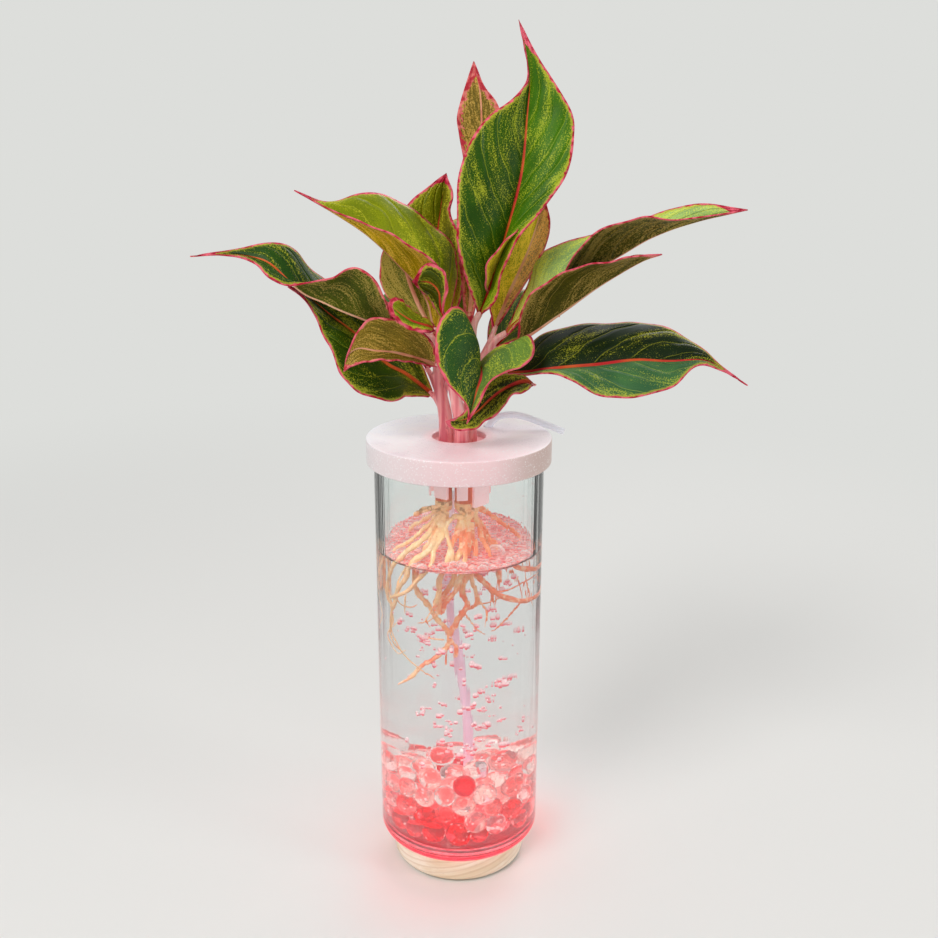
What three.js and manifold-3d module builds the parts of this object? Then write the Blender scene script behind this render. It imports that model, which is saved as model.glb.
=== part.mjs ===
// A hydroponic vase: a clear glass cylinder of water and gel beads on a lit wooden base, with a moulded lid
// that holds a planted evergreen by its canes, and an air tube that feeds a small air stone.
// Millimetres, +Z up. The origin is the middle of the anti-slip pad's underside; -Y is the front.
import * as THREE from 'three';
import { mergeVertices } from 'three/addons/utils/BufferGeometryUtils.js';
import Module from 'manifold-3d';

const wasm = await Module();
wasm.setup();

// Clearances shared by all pieces, and how far a cutting tool runs past what it cuts
const looseGap = 0.3;
const slidingGap = 0.5;
const cutPast = 1;

// Faces round a full turn: large bodies, what is inside the base, holes and small pins
const bodySides = 48;
const innerSides = 32;
const holeSides = 24;
const pinSides = 12;

// Anti-slip pad and bottom cover
const padThickness = 1;
const coverThickness = 2;
const coverBottom = padThickness + looseGap;
const coverTop = coverBottom + coverThickness;

// Wooden base: a turned ring with a window for the light, a recess for the diffuser and a cavity below
const woodRadius = 40;
const woodHeight = 17;
const woodBottomEdge = 3;
const woodTopEdge = 1.2;
const woodBottom = padThickness;
const woodTop = woodBottom + woodHeight;
const diffuserThickness = 2.5;
const diffuserRadius = 28.7;
const windowRadius = 25;
const ledgeThickness = 3.2;
const ledgeTop = woodTop - diffuserThickness - looseGap;
const cavityTop = ledgeTop - ledgeThickness;

// Light board and the lights on it
const boardThickness = 1.6;
const boardRadius = 28.5;
const cavityRadius = boardRadius + slidingGap;
const boardTop = cavityTop - looseGap;
const boardBottom = boardTop - boardThickness;
const ledCount = 6;
const ledRing = 18;
const ledSize = 5;
const ledHeight = 1.6;

// Power socket at the back
const socketWidth = 9;
const socketHeight = 3.4;
const socketLength = 11;
const socketWall = 0.5;
const socketCorner = 1.5;
const socketRecess = 3;
const socketTongue = { width: 6.5, height: 0.8, length: 7 };
const socketLevel = boardBottom - looseGap - socketHeight / 2;

// Push switch and its button, beside the socket
const buttonRadius = 2.4;
const buttonProud = 1.4;
const buttonTravel = 0.9;
const buttonAngle = 125;
const switchWidth = 6;
const switchDepth = 5;
const switchHeight = 5;
const switchSetback = 2;
const switchReach = cavityRadius - switchSetback;
const switchLevel = boardBottom - looseGap - switchHeight / 2;

// The cover reaches over a land of wood round the cavity, its screws stand in that land, and the pad lies inside them
const coverLand = 5.7;
const coverRadius = cavityRadius + coverLand;
const screwInset = 2.8;
const screwRing = coverRadius - screwInset;
const padInset = 3.9;
const padRadius = screwRing - padInset;

// Cover screws
const screwCount = 4;
const screwTurn = 45;
const screwHeadRadius = 2.1;
const screwHeadHeight = 1;
const screwShankRadius = 1;
const screwLength = 8;

// Glass vase
const glassRadius = 48;
const glassWall = 3.5;
const glassHeight = 245.7;
const glassFloor = 8.7;
const glassHeelRadius = 6;
const glassInnerHeel = 3;
const glassRimRound = 1;
const glassBottom = woodTop + looseGap;
const glassTop = glassBottom + glassHeight;
const glassInside = glassRadius - glassWall;
const glassFloorTop = glassBottom + glassFloor;

// Gel beads: rings of separate beads against the glass and over the top, on a core that stands for the beads
// inside the bed, with a well round the air stone
const beadRadius = 7.2;
const beadGap = 0.35;
const beadLayers = 3;
const beadLayerStep = 13.2;
const beadPitch = 2 * beadRadius + beadGap;
const beadSink = 0.35 * beadRadius;
const bedFloor = glassFloorTop + looseGap;
const outerRing = glassInside - beadRadius - looseGap;
const topLayerLevel = bedFloor + beadRadius + beadLayerStep * (beadLayers - 1);

// Lid: a cap over the rim with a plant hole, a tube hole and fingers hanging round the plant hole
const lidPlate = 3.1;
const lidHeight = 13.9;
const lidWall = 3.6;
const lidEdge = 0.8;
const lidInside = glassRadius + slidingGap;
const lidRadius = lidInside + lidWall;
const lidUnder = glassTop + looseGap;
const lidTop = lidUnder + lidPlate;
const plantHoleRadius = 15;
const collarInside = 16;
const collarWall = 2.2;
const collarDepth = 7;
// Each finger: the angle that it stands at, the angle that it spans and how far it hangs below the plate
const fingers = [
  { angle: 188, span: 16, drop: 33 },
  { angle: 234, span: 30, drop: 31 },
  { angle: 277, span: 21, drop: 31 },
  { angle: 320, span: 46, drop: 36 },
  { angle: 8, span: 22, drop: 33 },
  { angle: 52, span: 30, drop: 35 },
  { angle: 100, span: 26, drop: 33 },
  { angle: 144, span: 22, drop: 35 },
];

// Air tube, air stone and the barbed nozzle between them
const tubeRadius = 2;
const tubeSides = 8;
const tubeSteps = 54;
const tubeHole = { x: 17, y: 20, radius: 3 };
const stoneRadius = 4.6;
const stoneLength = 15;
const stoneAxis = { x: 4, y: 5 };
const stoneFloat = 15;
const stoneBottom = glassFloorTop + stoneFloat;
const stoneWell = stoneRadius + slidingGap;
const nozzleRadius = 2.6;
const nozzleHeight = 4;
const nozzleBottom = stoneBottom + stoneLength + looseGap;
const tubeFoot = nozzleBottom + nozzleHeight + looseGap;
const tubeRise = lidTop - tubeFoot;
// Inside the vase: x, y and the share of the rise from the nozzle to the top of the lid
const tubeInside = [
  [4, 5, 0], [4, 5, 0.04], [4, 5, 0.09], [3.2, 5.4, 0.16], [2, 6.2, 0.24], [0.2, 7.4, 0.33],
  [-2, 9, 0.42], [-4, 10.8, 0.51], [-5.4, 12.8, 0.6], [-5.6, 15.2, 0.68], [-3.6, 17.8, 0.75],
  [0.6, 20, 0.81], [6, 21, 0.87], [11, 21, 0.92], [15, 20.5, 0.965],
];
// Outside: x, y and the height above the top of the lid
const tubeOutside = [
  [17, 20, -1], [18.6, 19.8, 2.2], [22, 19.5, 5.4], [27, 18.8, 7], [33, 17.8, 7.2], [39.5, 16.2, 6],
  [46, 14.4, 4], [53, 12.6, 1.6], [60, 10.8, -0.8],
];

// Canes: the route of each, with heights above the top of the lid
const caneRadius = 5.2;
const caneSides = 8;
const caneSteps = 9;
const caneTip = 0.7;
const petioleRoot = 1.15;
const petioleTip = 0.85;
const petioleLead = 0.25;
const crownDrop = 37;
const canes = {
  left: [
    [-8.2, -6.5, -crownDrop - cutPast], [-8, -5, -22], [-7.2, -2.2, -4], [-7.4, 0, 9], [-9.6, 0.4, 22],
    [-13, 0, 36],
  ],
  middle: [
    [3, -10, -crownDrop - cutPast], [2.6, -9.6, -22], [1.8, -8.8, -4], [1, -8.4, 9], [-1, -8.4, 20],
    [-3.6, -9, 31],
  ],
  right: [
    [6.5, 8.2, -crownDrop - cutPast], [6.2, 7, -22], [5.8, 4.8, -4], [5.8, 4, 9], [6.6, 4, 24],
    [8.2, 3.6, 40],
  ],
};

// Leaf blades, pointed ovals: half widths, as a share of the widest, along the blade
const bladeOutline = [
  [0, 0.08], [0.1, 0.4], [0.24, 0.78], [0.4, 1], [0.55, 0.93], [0.68, 0.66], [0.78, 0.34], [0.87, 0.13],
  [1, 0.015],
];
const bladeThickness = 0.9;
const bladeSteps = 8;
const bladeRows = 2;
const petioleSides = 5;
const petioleSteps = 6;

// Each leaf: the cane that carries it, the height on the cane where its petiole parts from it, the petiole's
// radius and bends, then the blade. half is the widest of its left and right halves and skew moves their
// widest places towards the tip. spine runs from the blade's base to its tip, face is the way that the upper
// side looks at the base, the middle and the tip, open is how far the left and right half fold up from flat
// there, in degrees, and curl is how far each half bends on to its margin. Heights are above the lid.
const leaves = {
  crown: {
    cane: 'right', parts: 34, petiole: 2.4, bends: [], half: [31, 31], skew: [0.02, 0.14],
    spine: [[11, 0, 68], [20, 4, 96], [30, 8, 133], [35, 14, 174], [37, 18, 196], [31, 20, 218]],
    face: [[-0.3, -1, 0.2], [-0.1, -1, 0.1], [0, -1, 0]],
    open: [[40, 60], [10, 14], [8, 8]], curl: [12, 12],
  },
  back_tall: {
    cane: 'right', parts: 26, petiole: 2, bends: [[5, 10, 44]], half: [17, 15], skew: [0.28, 0.28],
    spine: [[5, 14, 56], [8, 24, 90], [12, 33, 138], [12, 38, 178], [8, 40, 199]],
    face: [[0, 1, 0.1], [0, 1, 0], [0, 1, 0]],
    open: [[50, 50], [20, 20], [10, 10]], curl: [10, 10],
  },
  lime: {
    cane: 'left', parts: 30, petiole: 2.4, bends: [], half: [20, 36], skew: [0, -0.08],
    spine: [[-13, -2, 55], [-18, -8, 79], [-32, -14, 96], [-55, -18, 117], [-68, -18, 127],
      [-84, -16, 134]],
    face: [[-0.6, 0, 0.8], [-0.5, 0, 0.85], [-0.3, 0, 1]],
    open: [[32, 62], [24, 62], [20, 40]], curl: [12, 14],
  },
  olive: {
    cane: 'left', parts: 24, petiole: 1.8, bends: [[-5, 14, 48]], half: [27, 16], skew: [0.1, 0],
    spine: [[-3, 22, 64], [-6, 28, 80], [-10, 35, 108], [-9, 36, 128], [-6, 34, 146]],
    face: [[0, -1, 0.1], [0, -1, 0], [0, -1, 0]],
    open: [[30, 40], [4, 18], [4, 10]], curl: [6, 10],
  },
  long_left: {
    cane: 'left', parts: 26, petiole: 2.4, bends: [], half: [31, 17], skew: [-0.08, 0],
    spine: [[-21, -8, 57], [-37, -16, 62], [-57, -22, 72], [-73, -24, 80], [-87, -24, 92], [-105, -22, 101],
      [-139, -18, 101]],
    face: [[0, 0, 1], [0.3, -0.3, 1], [0.2, -0.9, 0.4]],
    open: [[74, 10], [38, 4], [0, 4]], curl: [14, 6],
  },
  low_left: {
    cane: 'left', parts: 8, petiole: 2.2, bends: [], half: [28, 20], skew: [-0.04, 0],
    spine: [[-16, 4, 23], [-29, 2, 34], [-41, -2, 42], [-56, -5, 58], [-69, -8, 69], [-79, -10, 78],
      [-90, -12, 85]],
    face: [[0.3, -0.7, 0.8], [0.3, -0.7, 0.7], [0.3, -0.7, 0.7]],
    open: [[6, 20], [2, 10], [4, 8]], curl: [8, 8],
  },
  brown_left: {
    cane: 'middle', parts: 22, petiole: 2, bends: [], half: [20, 23], skew: [0.05, 0.1],
    spine: [[-12, -14, 43], [-31, -26, 51], [-46, -34, 56], [-55, -38, 56], [-59, -40, 45]],
    face: [[0, 0.7, 0.7], [0, 0.8, 0.6], [-0.6, 0.6, 0.4]],
    open: [[30, 20], [20, 12], [8, 8]], curl: [8, 8],
  },
  upper_right: {
    cane: 'right', parts: 28, petiole: 2.4, bends: [], half: [21, 25], skew: [0, 0],
    spine: [[25, 6, 56], [39, 8, 67], [63, 4, 84], [87, -2, 100], [113, -8, 114], [125, -10, 118],
      [149, -12, 124]],
    face: [[-0.4, 0, 1], [-0.4, 0, 1], [0, -0.3, 1]],
    open: [[72, 30], [52, 56], [34, 8]], curl: [12, 12],
  },
  brown_right: {
    cane: 'right', parts: 20, petiole: 2.2, bends: [], half: [23, 17], skew: [0.05, 0],
    spine: [[32, -3, 53], [42, -6, 63], [58, -10, 76], [74, -14, 87], [94, -18, 98], [105, -18, 102]],
    face: [[-0.4, 0.5, 0.8], [-0.4, 0.6, 0.7], [-0.3, 0.6, 0.7]],
    open: [[20, 24], [12, 18], [8, 8]], curl: [8, 8],
  },
  wide_right: {
    cane: 'right', parts: 10, petiole: 2.4, bends: [], half: [26, 31], skew: [0, 0.08],
    spine: [[25, -6, 36], [38, -10, 39], [58, -14, 42], [88, -20, 46], [109, -24, 47], [131, -26, 48],
      [152, -28, 35]],
    face: [[0, -0.5, 0.85], [0, -0.55, 0.85], [0.3, -0.5, 0.8]],
    open: [[26, 30], [14, 8], [10, 8]], curl: [8, 8],
  },
  front: {
    cane: 'middle', parts: 24, petiole: 2.2, bends: [], half: [32, 38], skew: [-0.04, 0.08],
    spine: [[10, -14, 41], [12, -26, 43], [13, -38, 40], [11, -47, 33], [8, -51, 24]],
    face: [[0, 0, 1], [0, -0.5, 1], [0, -1, 0.3]],
    open: [[38, 54], [24, 34], [10, 14]], curl: [10, 10],
  },
  dark_low: {
    cane: 'right', parts: 4, petiole: 1.8, bends: [[24, -5, 27]], half: [12, 17], skew: [0, 0],
    spine: [[40, -13, 32], [29, -19, 28], [17, -25, 22], [6, -29, 14], [-7, -29, 12]],
    face: [[0, -0.6, 0.8], [0, -0.6, 0.8], [0, -0.6, 0.8]],
    open: [[20, 20], [14, 14], [8, 8]], curl: [8, 8],
  },
  lime_flap: {
    cane: 'middle', parts: 30, petiole: 1.5, bends: [], half: [13, 12], skew: [0, 0],
    spine: [[-12, -26, 64], [-20, -32, 67], [-29, -34, 73], [-36, -32, 80]],
    face: [[0, -0.5, 0.85], [0, -0.5, 0.85], [0, -0.5, 0.85]],
    open: [[20, 20], [12, 12], [8, 8]], curl: [8, 8],
  },
  small_curl: {
    cane: 'middle', parts: 31, petiole: 1.5, bends: [], half: [15, 16], skew: [0, 0.1],
    spine: [[-5, -23, 66], [-5, -26, 78], [-8, -27, 88], [-14, -26, 96], [-23, -25, 90]],
    face: [[-1, -0.5, 0], [-0.9, -0.5, 0], [-0.4, -0.5, -0.6]],
    open: [[30, 50], [24, 40], [10, 10]], curl: [10, 20],
  },
  back_left: {
    cane: 'left', parts: 32, petiole: 2, bends: [], half: [19, 19], skew: [0, 0],
    spine: [[-17, 11, 60], [-24, 16, 74], [-29, 18, 88], [-33, 19, 104], [-30, 18, 119]],
    face: [[0.2, 1, 0.2], [0.1, 1, 0], [0, 1, 0]],
    open: [[30, 30], [14, 14], [8, 8]], curl: [8, 8],
  },
  pink_right: {
    cane: 'right', parts: 32, petiole: 1.8, bends: [], half: [18, 18], skew: [0, 0],
    spine: [[20, 10, 59], [31, 18, 79], [41, 22, 106], [44, 22, 133]],
    face: [[-0.2, 1, 0.2], [-0.1, 1, 0], [0, 1, 0]],
    open: [[30, 30], [14, 14], [8, 8]], curl: [8, 8],
  },
  back_right: {
    cane: 'right', parts: 14, petiole: 1.8, bends: [], half: [20, 20], skew: [0, 0],
    spine: [[20, 16, 46], [32, 28, 56], [45, 46, 66], [60, 64, 70]],
    face: [[-0.2, -0.7, 0.7], [-0.2, -0.7, 0.7], [-0.1, -0.7, 0.7]],
    open: [[20, 20], [12, 12], [8, 8]], curl: [8, 8],
  },
  rear_left: {
    cane: 'left', parts: 12, petiole: 2, bends: [], half: [22, 22], skew: [0, 0],
    spine: [[-18, 18, 34], [-28, 36, 48], [-40, 60, 62], [-50, 84, 64], [-56, 100, 54]],
    face: [[0.3, -0.3, 1], [0, 0, 1], [-0.3, 0.4, 0.8]],
    open: [[30, 30], [16, 16], [8, 8]], curl: [8, 8],
  },
  rear_right: {
    cane: 'right', parts: 6, petiole: 2, bends: [[14, 16, 20]], half: [22, 22], skew: [0, 0],
    spine: [[20, 24, 30], [32, 42, 44], [46, 66, 56], [58, 90, 58], [64, 104, 50]],
    face: [[-0.3, -0.3, 1], [0, 0, 1], [0.3, 0.4, 0.8]],
    open: [[30, 30], [16, 16], [8, 8]], curl: [8, 8],
  },
  rear_middle: {
    cane: 'left', parts: 18, petiole: 2, bends: [[-6, 14, 36]], half: [21, 21], skew: [0, 0],
    spine: [[-4, 28, 52], [-2, 46, 74], [4, 66, 98], [6, 88, 110], [6, 110, 106]],
    face: [[0, -0.7, 0.8], [0, -0.3, 1], [0, 0.3, 1]],
    open: [[36, 36], [18, 18], [8, 8]], curl: [8, 8],
  },
};

// Roots: each crown is a knot with its roots. A root leaves at an angle, spreads to a share of the way from
// its crown to the glass, hangs below the crown by its drop and swings sideways on the way.
const knotRadius = 5.6;
const knotHeight = 7;
const knotSides = 10;
const knotRows = 6;
const rootSides = 5;
const rootSteps = 7;
const rootBends = 4;
const rootStart = 1.1;
const rootTip = 0.45;
const roots = {
  left: [
    { angle: 150, spread: 0.9, drop: 66, radius: 1.5, swing: 3 },
    { angle: 178, spread: 1, drop: 84, radius: 1.7, swing: -4 },
    { angle: 200, spread: 0.96, drop: 52, radius: 1.9, swing: 4 },
    { angle: 222, spread: 1, drop: 70, radius: 1.4, swing: 3 },
    { angle: 245, spread: 0.9, drop: 46, radius: 1.3, swing: -3 },
    { angle: 190, spread: 0.55, drop: 100, radius: 1.3, swing: 5 },
  ],
  middle: [
    { angle: 250, spread: 0.45, drop: 92, radius: 1.7, swing: 3 },
    { angle: 280, spread: 0.7, drop: 64, radius: 1.6, swing: -4 },
    { angle: 310, spread: 0.9, drop: 58, radius: 1.5, swing: 3 },
    { angle: 335, spread: 1, drop: 46, radius: 1.2, swing: -3 },
    { angle: 265, spread: 0.2, drop: 78, radius: 1.5, swing: 3 },
  ],
  right: [
    { angle: 20, spread: 1, drop: 40, radius: 1.3, swing: 3 },
    { angle: 48, spread: 0.9, drop: 60, radius: 1.5, swing: -3 },
    { angle: 350, spread: 0.6, drop: 74, radius: 1.3, swing: -3 },
    { angle: 75, spread: 0.8, drop: 70, radius: 1.4, swing: -3 },
  ],
};

// A closed three.js geometry as a solid that can be joined and cut.
function solidOf(geometry) {
  const plain = geometry.clone();
  plain.deleteAttribute('normal');
  plain.deleteAttribute('uv');
  const merged = mergeVertices(plain, 1e-4);
  return new wasm.Manifold(new wasm.Mesh({
    numProp: 3,
    vertProperties: new Float32Array(merged.attributes.position.array),
    triVerts: new Uint32Array(merged.index.array),
  }));
}

// A solid back as a three.js geometry.
function geometryOf(solid) {
  const mesh = solid.getMesh();
  const positions = new Float32Array(mesh.numVert * 3);
  for (let i = 0; i < mesh.numVert; i++) {
    positions.set(mesh.vertProperties.subarray(i * mesh.numProp, i * mesh.numProp + 3), i * 3);
  }
  const geometry = new THREE.BufferGeometry();
  geometry.setAttribute('position', new THREE.BufferAttribute(positions, 3));
  geometry.setIndex(new THREE.BufferAttribute(new Uint32Array(mesh.triVerts), 1));
  geometry.computeVertexNormals();
  return geometry;
}

// The join of several solids.
function joined(solids) {
  return solids.reduce((sum, solid) => sum.add(solid));
}

const degrees = (angle) => THREE.MathUtils.degToRad(angle);
const mix = (a, b, share) => a + (b - a) * share;

// A point on a circle about the vertical axis.
function onRing(radius, angle, z) {
  return new THREE.Vector3(radius * Math.cos(degrees(angle)), radius * Math.sin(degrees(angle)), z);
}

// An upright cylinder from one height to another.
function upright(radius, low, high, sides = holeSides, x = 0, y = 0) {
  const geometry = new THREE.CylinderGeometry(radius, radius, high - low, sides);
  geometry.rotateX(Math.PI / 2);
  geometry.translate(x, y, (low + high) / 2);
  return solidOf(geometry);
}

// A box from its lowest to its highest corner.
function block(low, high) {
  const geometry = new THREE.BoxGeometry(high[0] - low[0], high[1] - low[1], high[2] - low[2]);
  geometry.translate((low[0] + high[0]) / 2, (low[1] + high[1]) / 2, (low[2] + high[2]) / 2);
  return solidOf(geometry);
}

// A quarter round in a turned profile, from one angle to another about a centre of radius and height.
function quarter(radius, z, size, from, to, steps) {
  const points = [];
  for (let i = 0; i <= steps; i++) {
    const angle = degrees(mix(from, to, i / steps));
    points.push(new THREE.Vector2(radius + size * Math.cos(angle), z + size * Math.sin(angle)));
  }
  return points;
}

// A body turned about the vertical axis from its profile of radius and height, anticlockwise from the axis.
function turned(profile, sides = bodySides) {
  const geometry = new THREE.LatheGeometry(profile, sides);
  geometry.rotateX(Math.PI / 2);
  return solidOf(geometry);
}

// A closed tube along a smooth line, with a radius at each of its rings.
function taperedTube(points, radiusAt, steps, sides) {
  const line = new THREE.CatmullRomCurve3(points, false, 'catmullrom', 0.5);
  const frames = line.computeFrenetFrames(steps);
  const positions = [];
  const index = [];
  for (let i = 0; i <= steps; i++) {
    const centre = line.getPointAt(i / steps);
    for (let j = 0; j < sides; j++) {
      const turn = (2 * Math.PI * j) / sides;
      const offset = frames.normals[i].clone().multiplyScalar(Math.cos(turn) * radiusAt(i / steps));
      offset.addScaledVector(frames.binormals[i], Math.sin(turn) * radiusAt(i / steps));
      positions.push(...centre.clone().add(offset).toArray());
    }
  }
  for (let i = 0; i < steps; i++) {
    for (let j = 0; j < sides; j++) {
      const a = i * sides + j;
      const b = i * sides + ((j + 1) % sides);
      index.push(a, b, b + sides, a, b + sides, a + sides);
    }
  }
  for (let j = 1; j < sides - 1; j++) {
    index.push(0, j + 1, j);
    index.push(steps * sides, steps * sides + j, steps * sides + j + 1);
  }
  const geometry = new THREE.BufferGeometry();
  geometry.setAttribute('position', new THREE.Float32BufferAttribute(positions, 3));
  geometry.setIndex(index);
  return solidOf(geometry);
}

// Base

function woodBase() {
  const recessRadius = diffuserRadius + looseGap;
  const coverRecessRadius = coverRadius + looseGap;
  const body = turned([
    new THREE.Vector2(0, woodBottom),
    ...quarter(woodRadius - woodBottomEdge, woodBottom + woodBottomEdge, woodBottomEdge, -90, 0, 2),
    ...quarter(woodRadius - woodTopEdge, woodTop - woodTopEdge, woodTopEdge, 0, 90, 1),
    new THREE.Vector2(0, woodTop),
  ]);
  const cuts = [
    upright(recessRadius, ledgeTop, woodTop + cutPast, innerSides),
    upright(windowRadius, cavityTop - cutPast, ledgeTop + cutPast, innerSides),
    upright(cavityRadius, woodBottom - cutPast, cavityTop, innerSides),
    upright(coverRecessRadius, woodBottom - cutPast, coverTop + looseGap, innerSides),
    socketSlot(),
    buttonBore(),
    ...screwPlaces().map(screwBore),
  ];
  return cuts.reduce((wood, cut) => wood.subtract(cut), body);
}

function diffuser() {
  return upright(diffuserRadius, ledgeTop + looseGap, ledgeTop + diffuserThickness, innerSides);
}

function lightBoard() {
  return upright(boardRadius, boardBottom, boardTop, innerSides);
}

function led(number) {
  const place = onRing(ledRing, (360 / ledCount) * number, 0);
  const half = ledSize / 2;
  const low = boardTop + looseGap;
  return block([place.x - half, place.y - half, low], [place.x + half, place.y + half, low + ledHeight]);
}

function socketSlot() {
  const halfWidth = socketWidth / 2 + looseGap;
  const halfHeight = socketHeight / 2 + looseGap;
  return block([-halfWidth, cavityRadius - 2 * cutPast, socketLevel - halfHeight],
    [halfWidth, woodRadius + cutPast, socketLevel + halfHeight]);
}

// An outline with round corners, for the socket's shell.
function roundedRectangle(width, height, corner) {
  const shape = new THREE.Shape();
  const x = width / 2;
  const y = height / 2;
  shape.absarc(x - corner, y - corner, corner, 0, Math.PI / 2);
  shape.absarc(corner - x, y - corner, corner, Math.PI / 2, Math.PI);
  shape.absarc(corner - x, corner - y, corner, Math.PI, 1.5 * Math.PI);
  shape.absarc(x - corner, corner - y, corner, 1.5 * Math.PI, 2 * Math.PI);
  return shape;
}

function powerSocket() {
  const length = { depth: socketLength, bevelEnabled: false, curveSegments: 4 };
  const inside = { width: socketWidth - 2 * socketWall, height: socketHeight - 2 * socketWall };
  const outline = roundedRectangle(socketWidth, socketHeight, socketCorner);
  const inline = roundedRectangle(inside.width, inside.height, socketCorner - socketWall);
  const mouth = woodRadius - socketRecess;
  const shell = solidOf(new THREE.ExtrudeGeometry(outline, length));
  const hollow = new THREE.ExtrudeGeometry(inline, length);
  hollow.translate(0, 0, 2 * socketWall);
  const tongueLength = socketTongue.length + socketWall;
  const tongue = new THREE.BoxGeometry(socketTongue.width, socketTongue.height, tongueLength);
  tongue.translate(0, 0, tongueLength / 2 + socketWall);
  return shell.subtract(solidOf(hollow)).add(solidOf(tongue))
    .rotate([-90, 0, 0]).translate([0, mouth - socketLength, socketLevel]);
}

// The button lies along +X and is turned to its angle with its bore and its switch.
function buttonBore() {
  const radius = buttonRadius + looseGap;
  const bore = new THREE.CylinderGeometry(radius, radius, woodRadius, holeSides);
  bore.rotateZ(Math.PI / 2);
  bore.translate(cavityRadius - cutPast + woodRadius / 2, 0, switchLevel);
  return solidOf(bore).rotate([0, 0, buttonAngle]);
}

function button() {
  const inner = switchReach + buttonTravel + looseGap;
  const outer = woodRadius + buttonProud;
  const round = new THREE.CylinderGeometry(buttonRadius, buttonRadius, outer - inner, holeSides);
  round.rotateZ(Math.PI / 2);
  round.translate((inner + outer) / 2, 0, switchLevel);
  return solidOf(round).rotate([0, 0, buttonAngle]);
}

function pushSwitch() {
  const half = switchWidth / 2;
  return block([switchReach - switchDepth, -half, switchLevel - switchHeight / 2],
    [switchReach, half, switchLevel + switchHeight / 2]).rotate([0, 0, buttonAngle]);
}

// The hole in the wood that takes the shank of a cover screw.
function screwBore(place) {
  const depth = coverBottom + screwLength + slidingGap;
  return upright(screwShankRadius + looseGap, coverTop, depth, pinSides, place.x, place.y);
}

function screwPlaces() {
  const places = [];
  for (let i = 0; i < screwCount; i++) {
    places.push(onRing(screwRing, screwTurn + (360 / screwCount) * i, 0));
  }
  return places;
}

function bottomCover() {
  const below = coverBottom - cutPast;
  const headRecess = coverBottom + screwHeadHeight + looseGap;
  let cover = upright(coverRadius, coverBottom, coverTop, innerSides);
  for (const { x, y } of screwPlaces()) {
    cover = cover.subtract(upright(screwShankRadius + looseGap, below, coverTop + cutPast, pinSides, x, y));
    cover = cover.subtract(upright(screwHeadRadius + looseGap, below, headRecess, pinSides, x, y));
  }
  return cover;
}

function screw(number) {
  const place = screwPlaces()[number];
  const headTop = coverBottom + screwHeadHeight;
  return upright(screwHeadRadius, coverBottom, headTop, pinSides, place.x, place.y)
    .add(upright(screwShankRadius, coverBottom, coverBottom + screwLength, pinSides, place.x, place.y));
}

function antiSlipPad() {
  return upright(padRadius, 0, padThickness, innerSides);
}

// Vase

function glassVase() {
  const heel = glassHeelRadius;
  const rim = glassRimRound;
  return turned([
    new THREE.Vector2(0, glassBottom),
    ...quarter(glassRadius - heel, glassBottom + heel, heel, -90, 0, 3),
    ...quarter(glassRadius - rim, glassTop - rim, rim, 0, 90, 1),
    ...quarter(glassInside + rim, glassTop - rim, rim, 90, 180, 1),
    ...quarter(glassInside - glassInnerHeel, glassFloorTop + glassInnerHeel, glassInnerHeel, 0, -90, 2),
    new THREE.Vector2(0, glassFloorTop),
  ]);
}

// Places of the beads that show: the outer ring of each layer, and the inner rings of the top layer.
function beadPlaces() {
  const places = [];
  for (let layer = 0; layer < beadLayers; layer++) {
    const z = bedFloor + beadRadius + beadLayerStep * layer;
    const innermost = layer === beadLayers - 1 ? stoneWell + beadRadius : outerRing;
    for (let ring = outerRing; ring >= innermost; ring -= beadPitch) {
      const count = Math.floor(Math.PI / Math.asin(beadPitch / 2 / ring));
      for (let i = 0; i < count; i++) {
        places.push(onRing(ring, (360 / count) * (i + layer / 2), z));
      }
    }
  }
  return places;
}

function gelBeads() {
  const core = upright(outerRing - beadSink, bedFloor, topLayerLevel + beadSink, innerSides);
  const bed = joined([core, ...beadPlaces().map((place) => {
    const ball = new THREE.IcosahedronGeometry(beadRadius);
    ball.translate(place.x, place.y, place.z);
    return solidOf(ball);
  })]);
  const wellTop = topLayerLevel + 2 * beadRadius;
  const { x, y } = stoneAxis;
  return bed.subtract(upright(stoneWell, stoneBottom - looseGap, wellTop, holeSides, x, y));
}

// Lid

function lid() {
  const outerTop = quarter(lidRadius - lidEdge, lidTop - lidEdge, lidEdge, 0, 90, 1);
  const below = lidUnder - cutPast;
  const above = lidTop + cutPast;
  const skirtBottom = lidTop - lidHeight;
  let body = turned([
    new THREE.Vector2(lidInside, skirtBottom),
    new THREE.Vector2(lidRadius, skirtBottom),
    ...outerTop,
    new THREE.Vector2(0, lidTop),
    new THREE.Vector2(0, lidUnder),
    new THREE.Vector2(lidInside, lidUnder),
    new THREE.Vector2(lidInside, skirtBottom),
  ]);
  body = body.subtract(upright(plantHoleRadius, below, above, bodySides));
  body = body.subtract(upright(tubeHole.radius, below, above, holeSides, tubeHole.x, tubeHole.y));
  const collarBottom = lidUnder - collarDepth;
  const collar = upright(collarInside + collarWall, collarBottom, lidUnder + lidPlate / 2, holeSides)
    .subtract(upright(collarInside, collarBottom - cutPast, lidUnder + lidPlate, holeSides));
  return joined([body, collar, ...fingers.map(finger)]);
}

// One finger: a slice of a round wall that hangs from the collar.
function finger({ angle, span, drop }) {
  const shape = new THREE.Shape();
  const from = degrees(angle - span / 2);
  const to = degrees(angle + span / 2);
  shape.absarc(0, 0, collarInside + collarWall, from, to, false);
  shape.absarc(0, 0, collarInside, to, from, true);
  const depth = drop - collarDepth / 2;
  const geometry = new THREE.ExtrudeGeometry(shape, { depth, bevelEnabled: false, curveSegments: 2 });
  geometry.translate(0, 0, lidUnder - drop);
  return solidOf(geometry);
}

// Air supply

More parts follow.
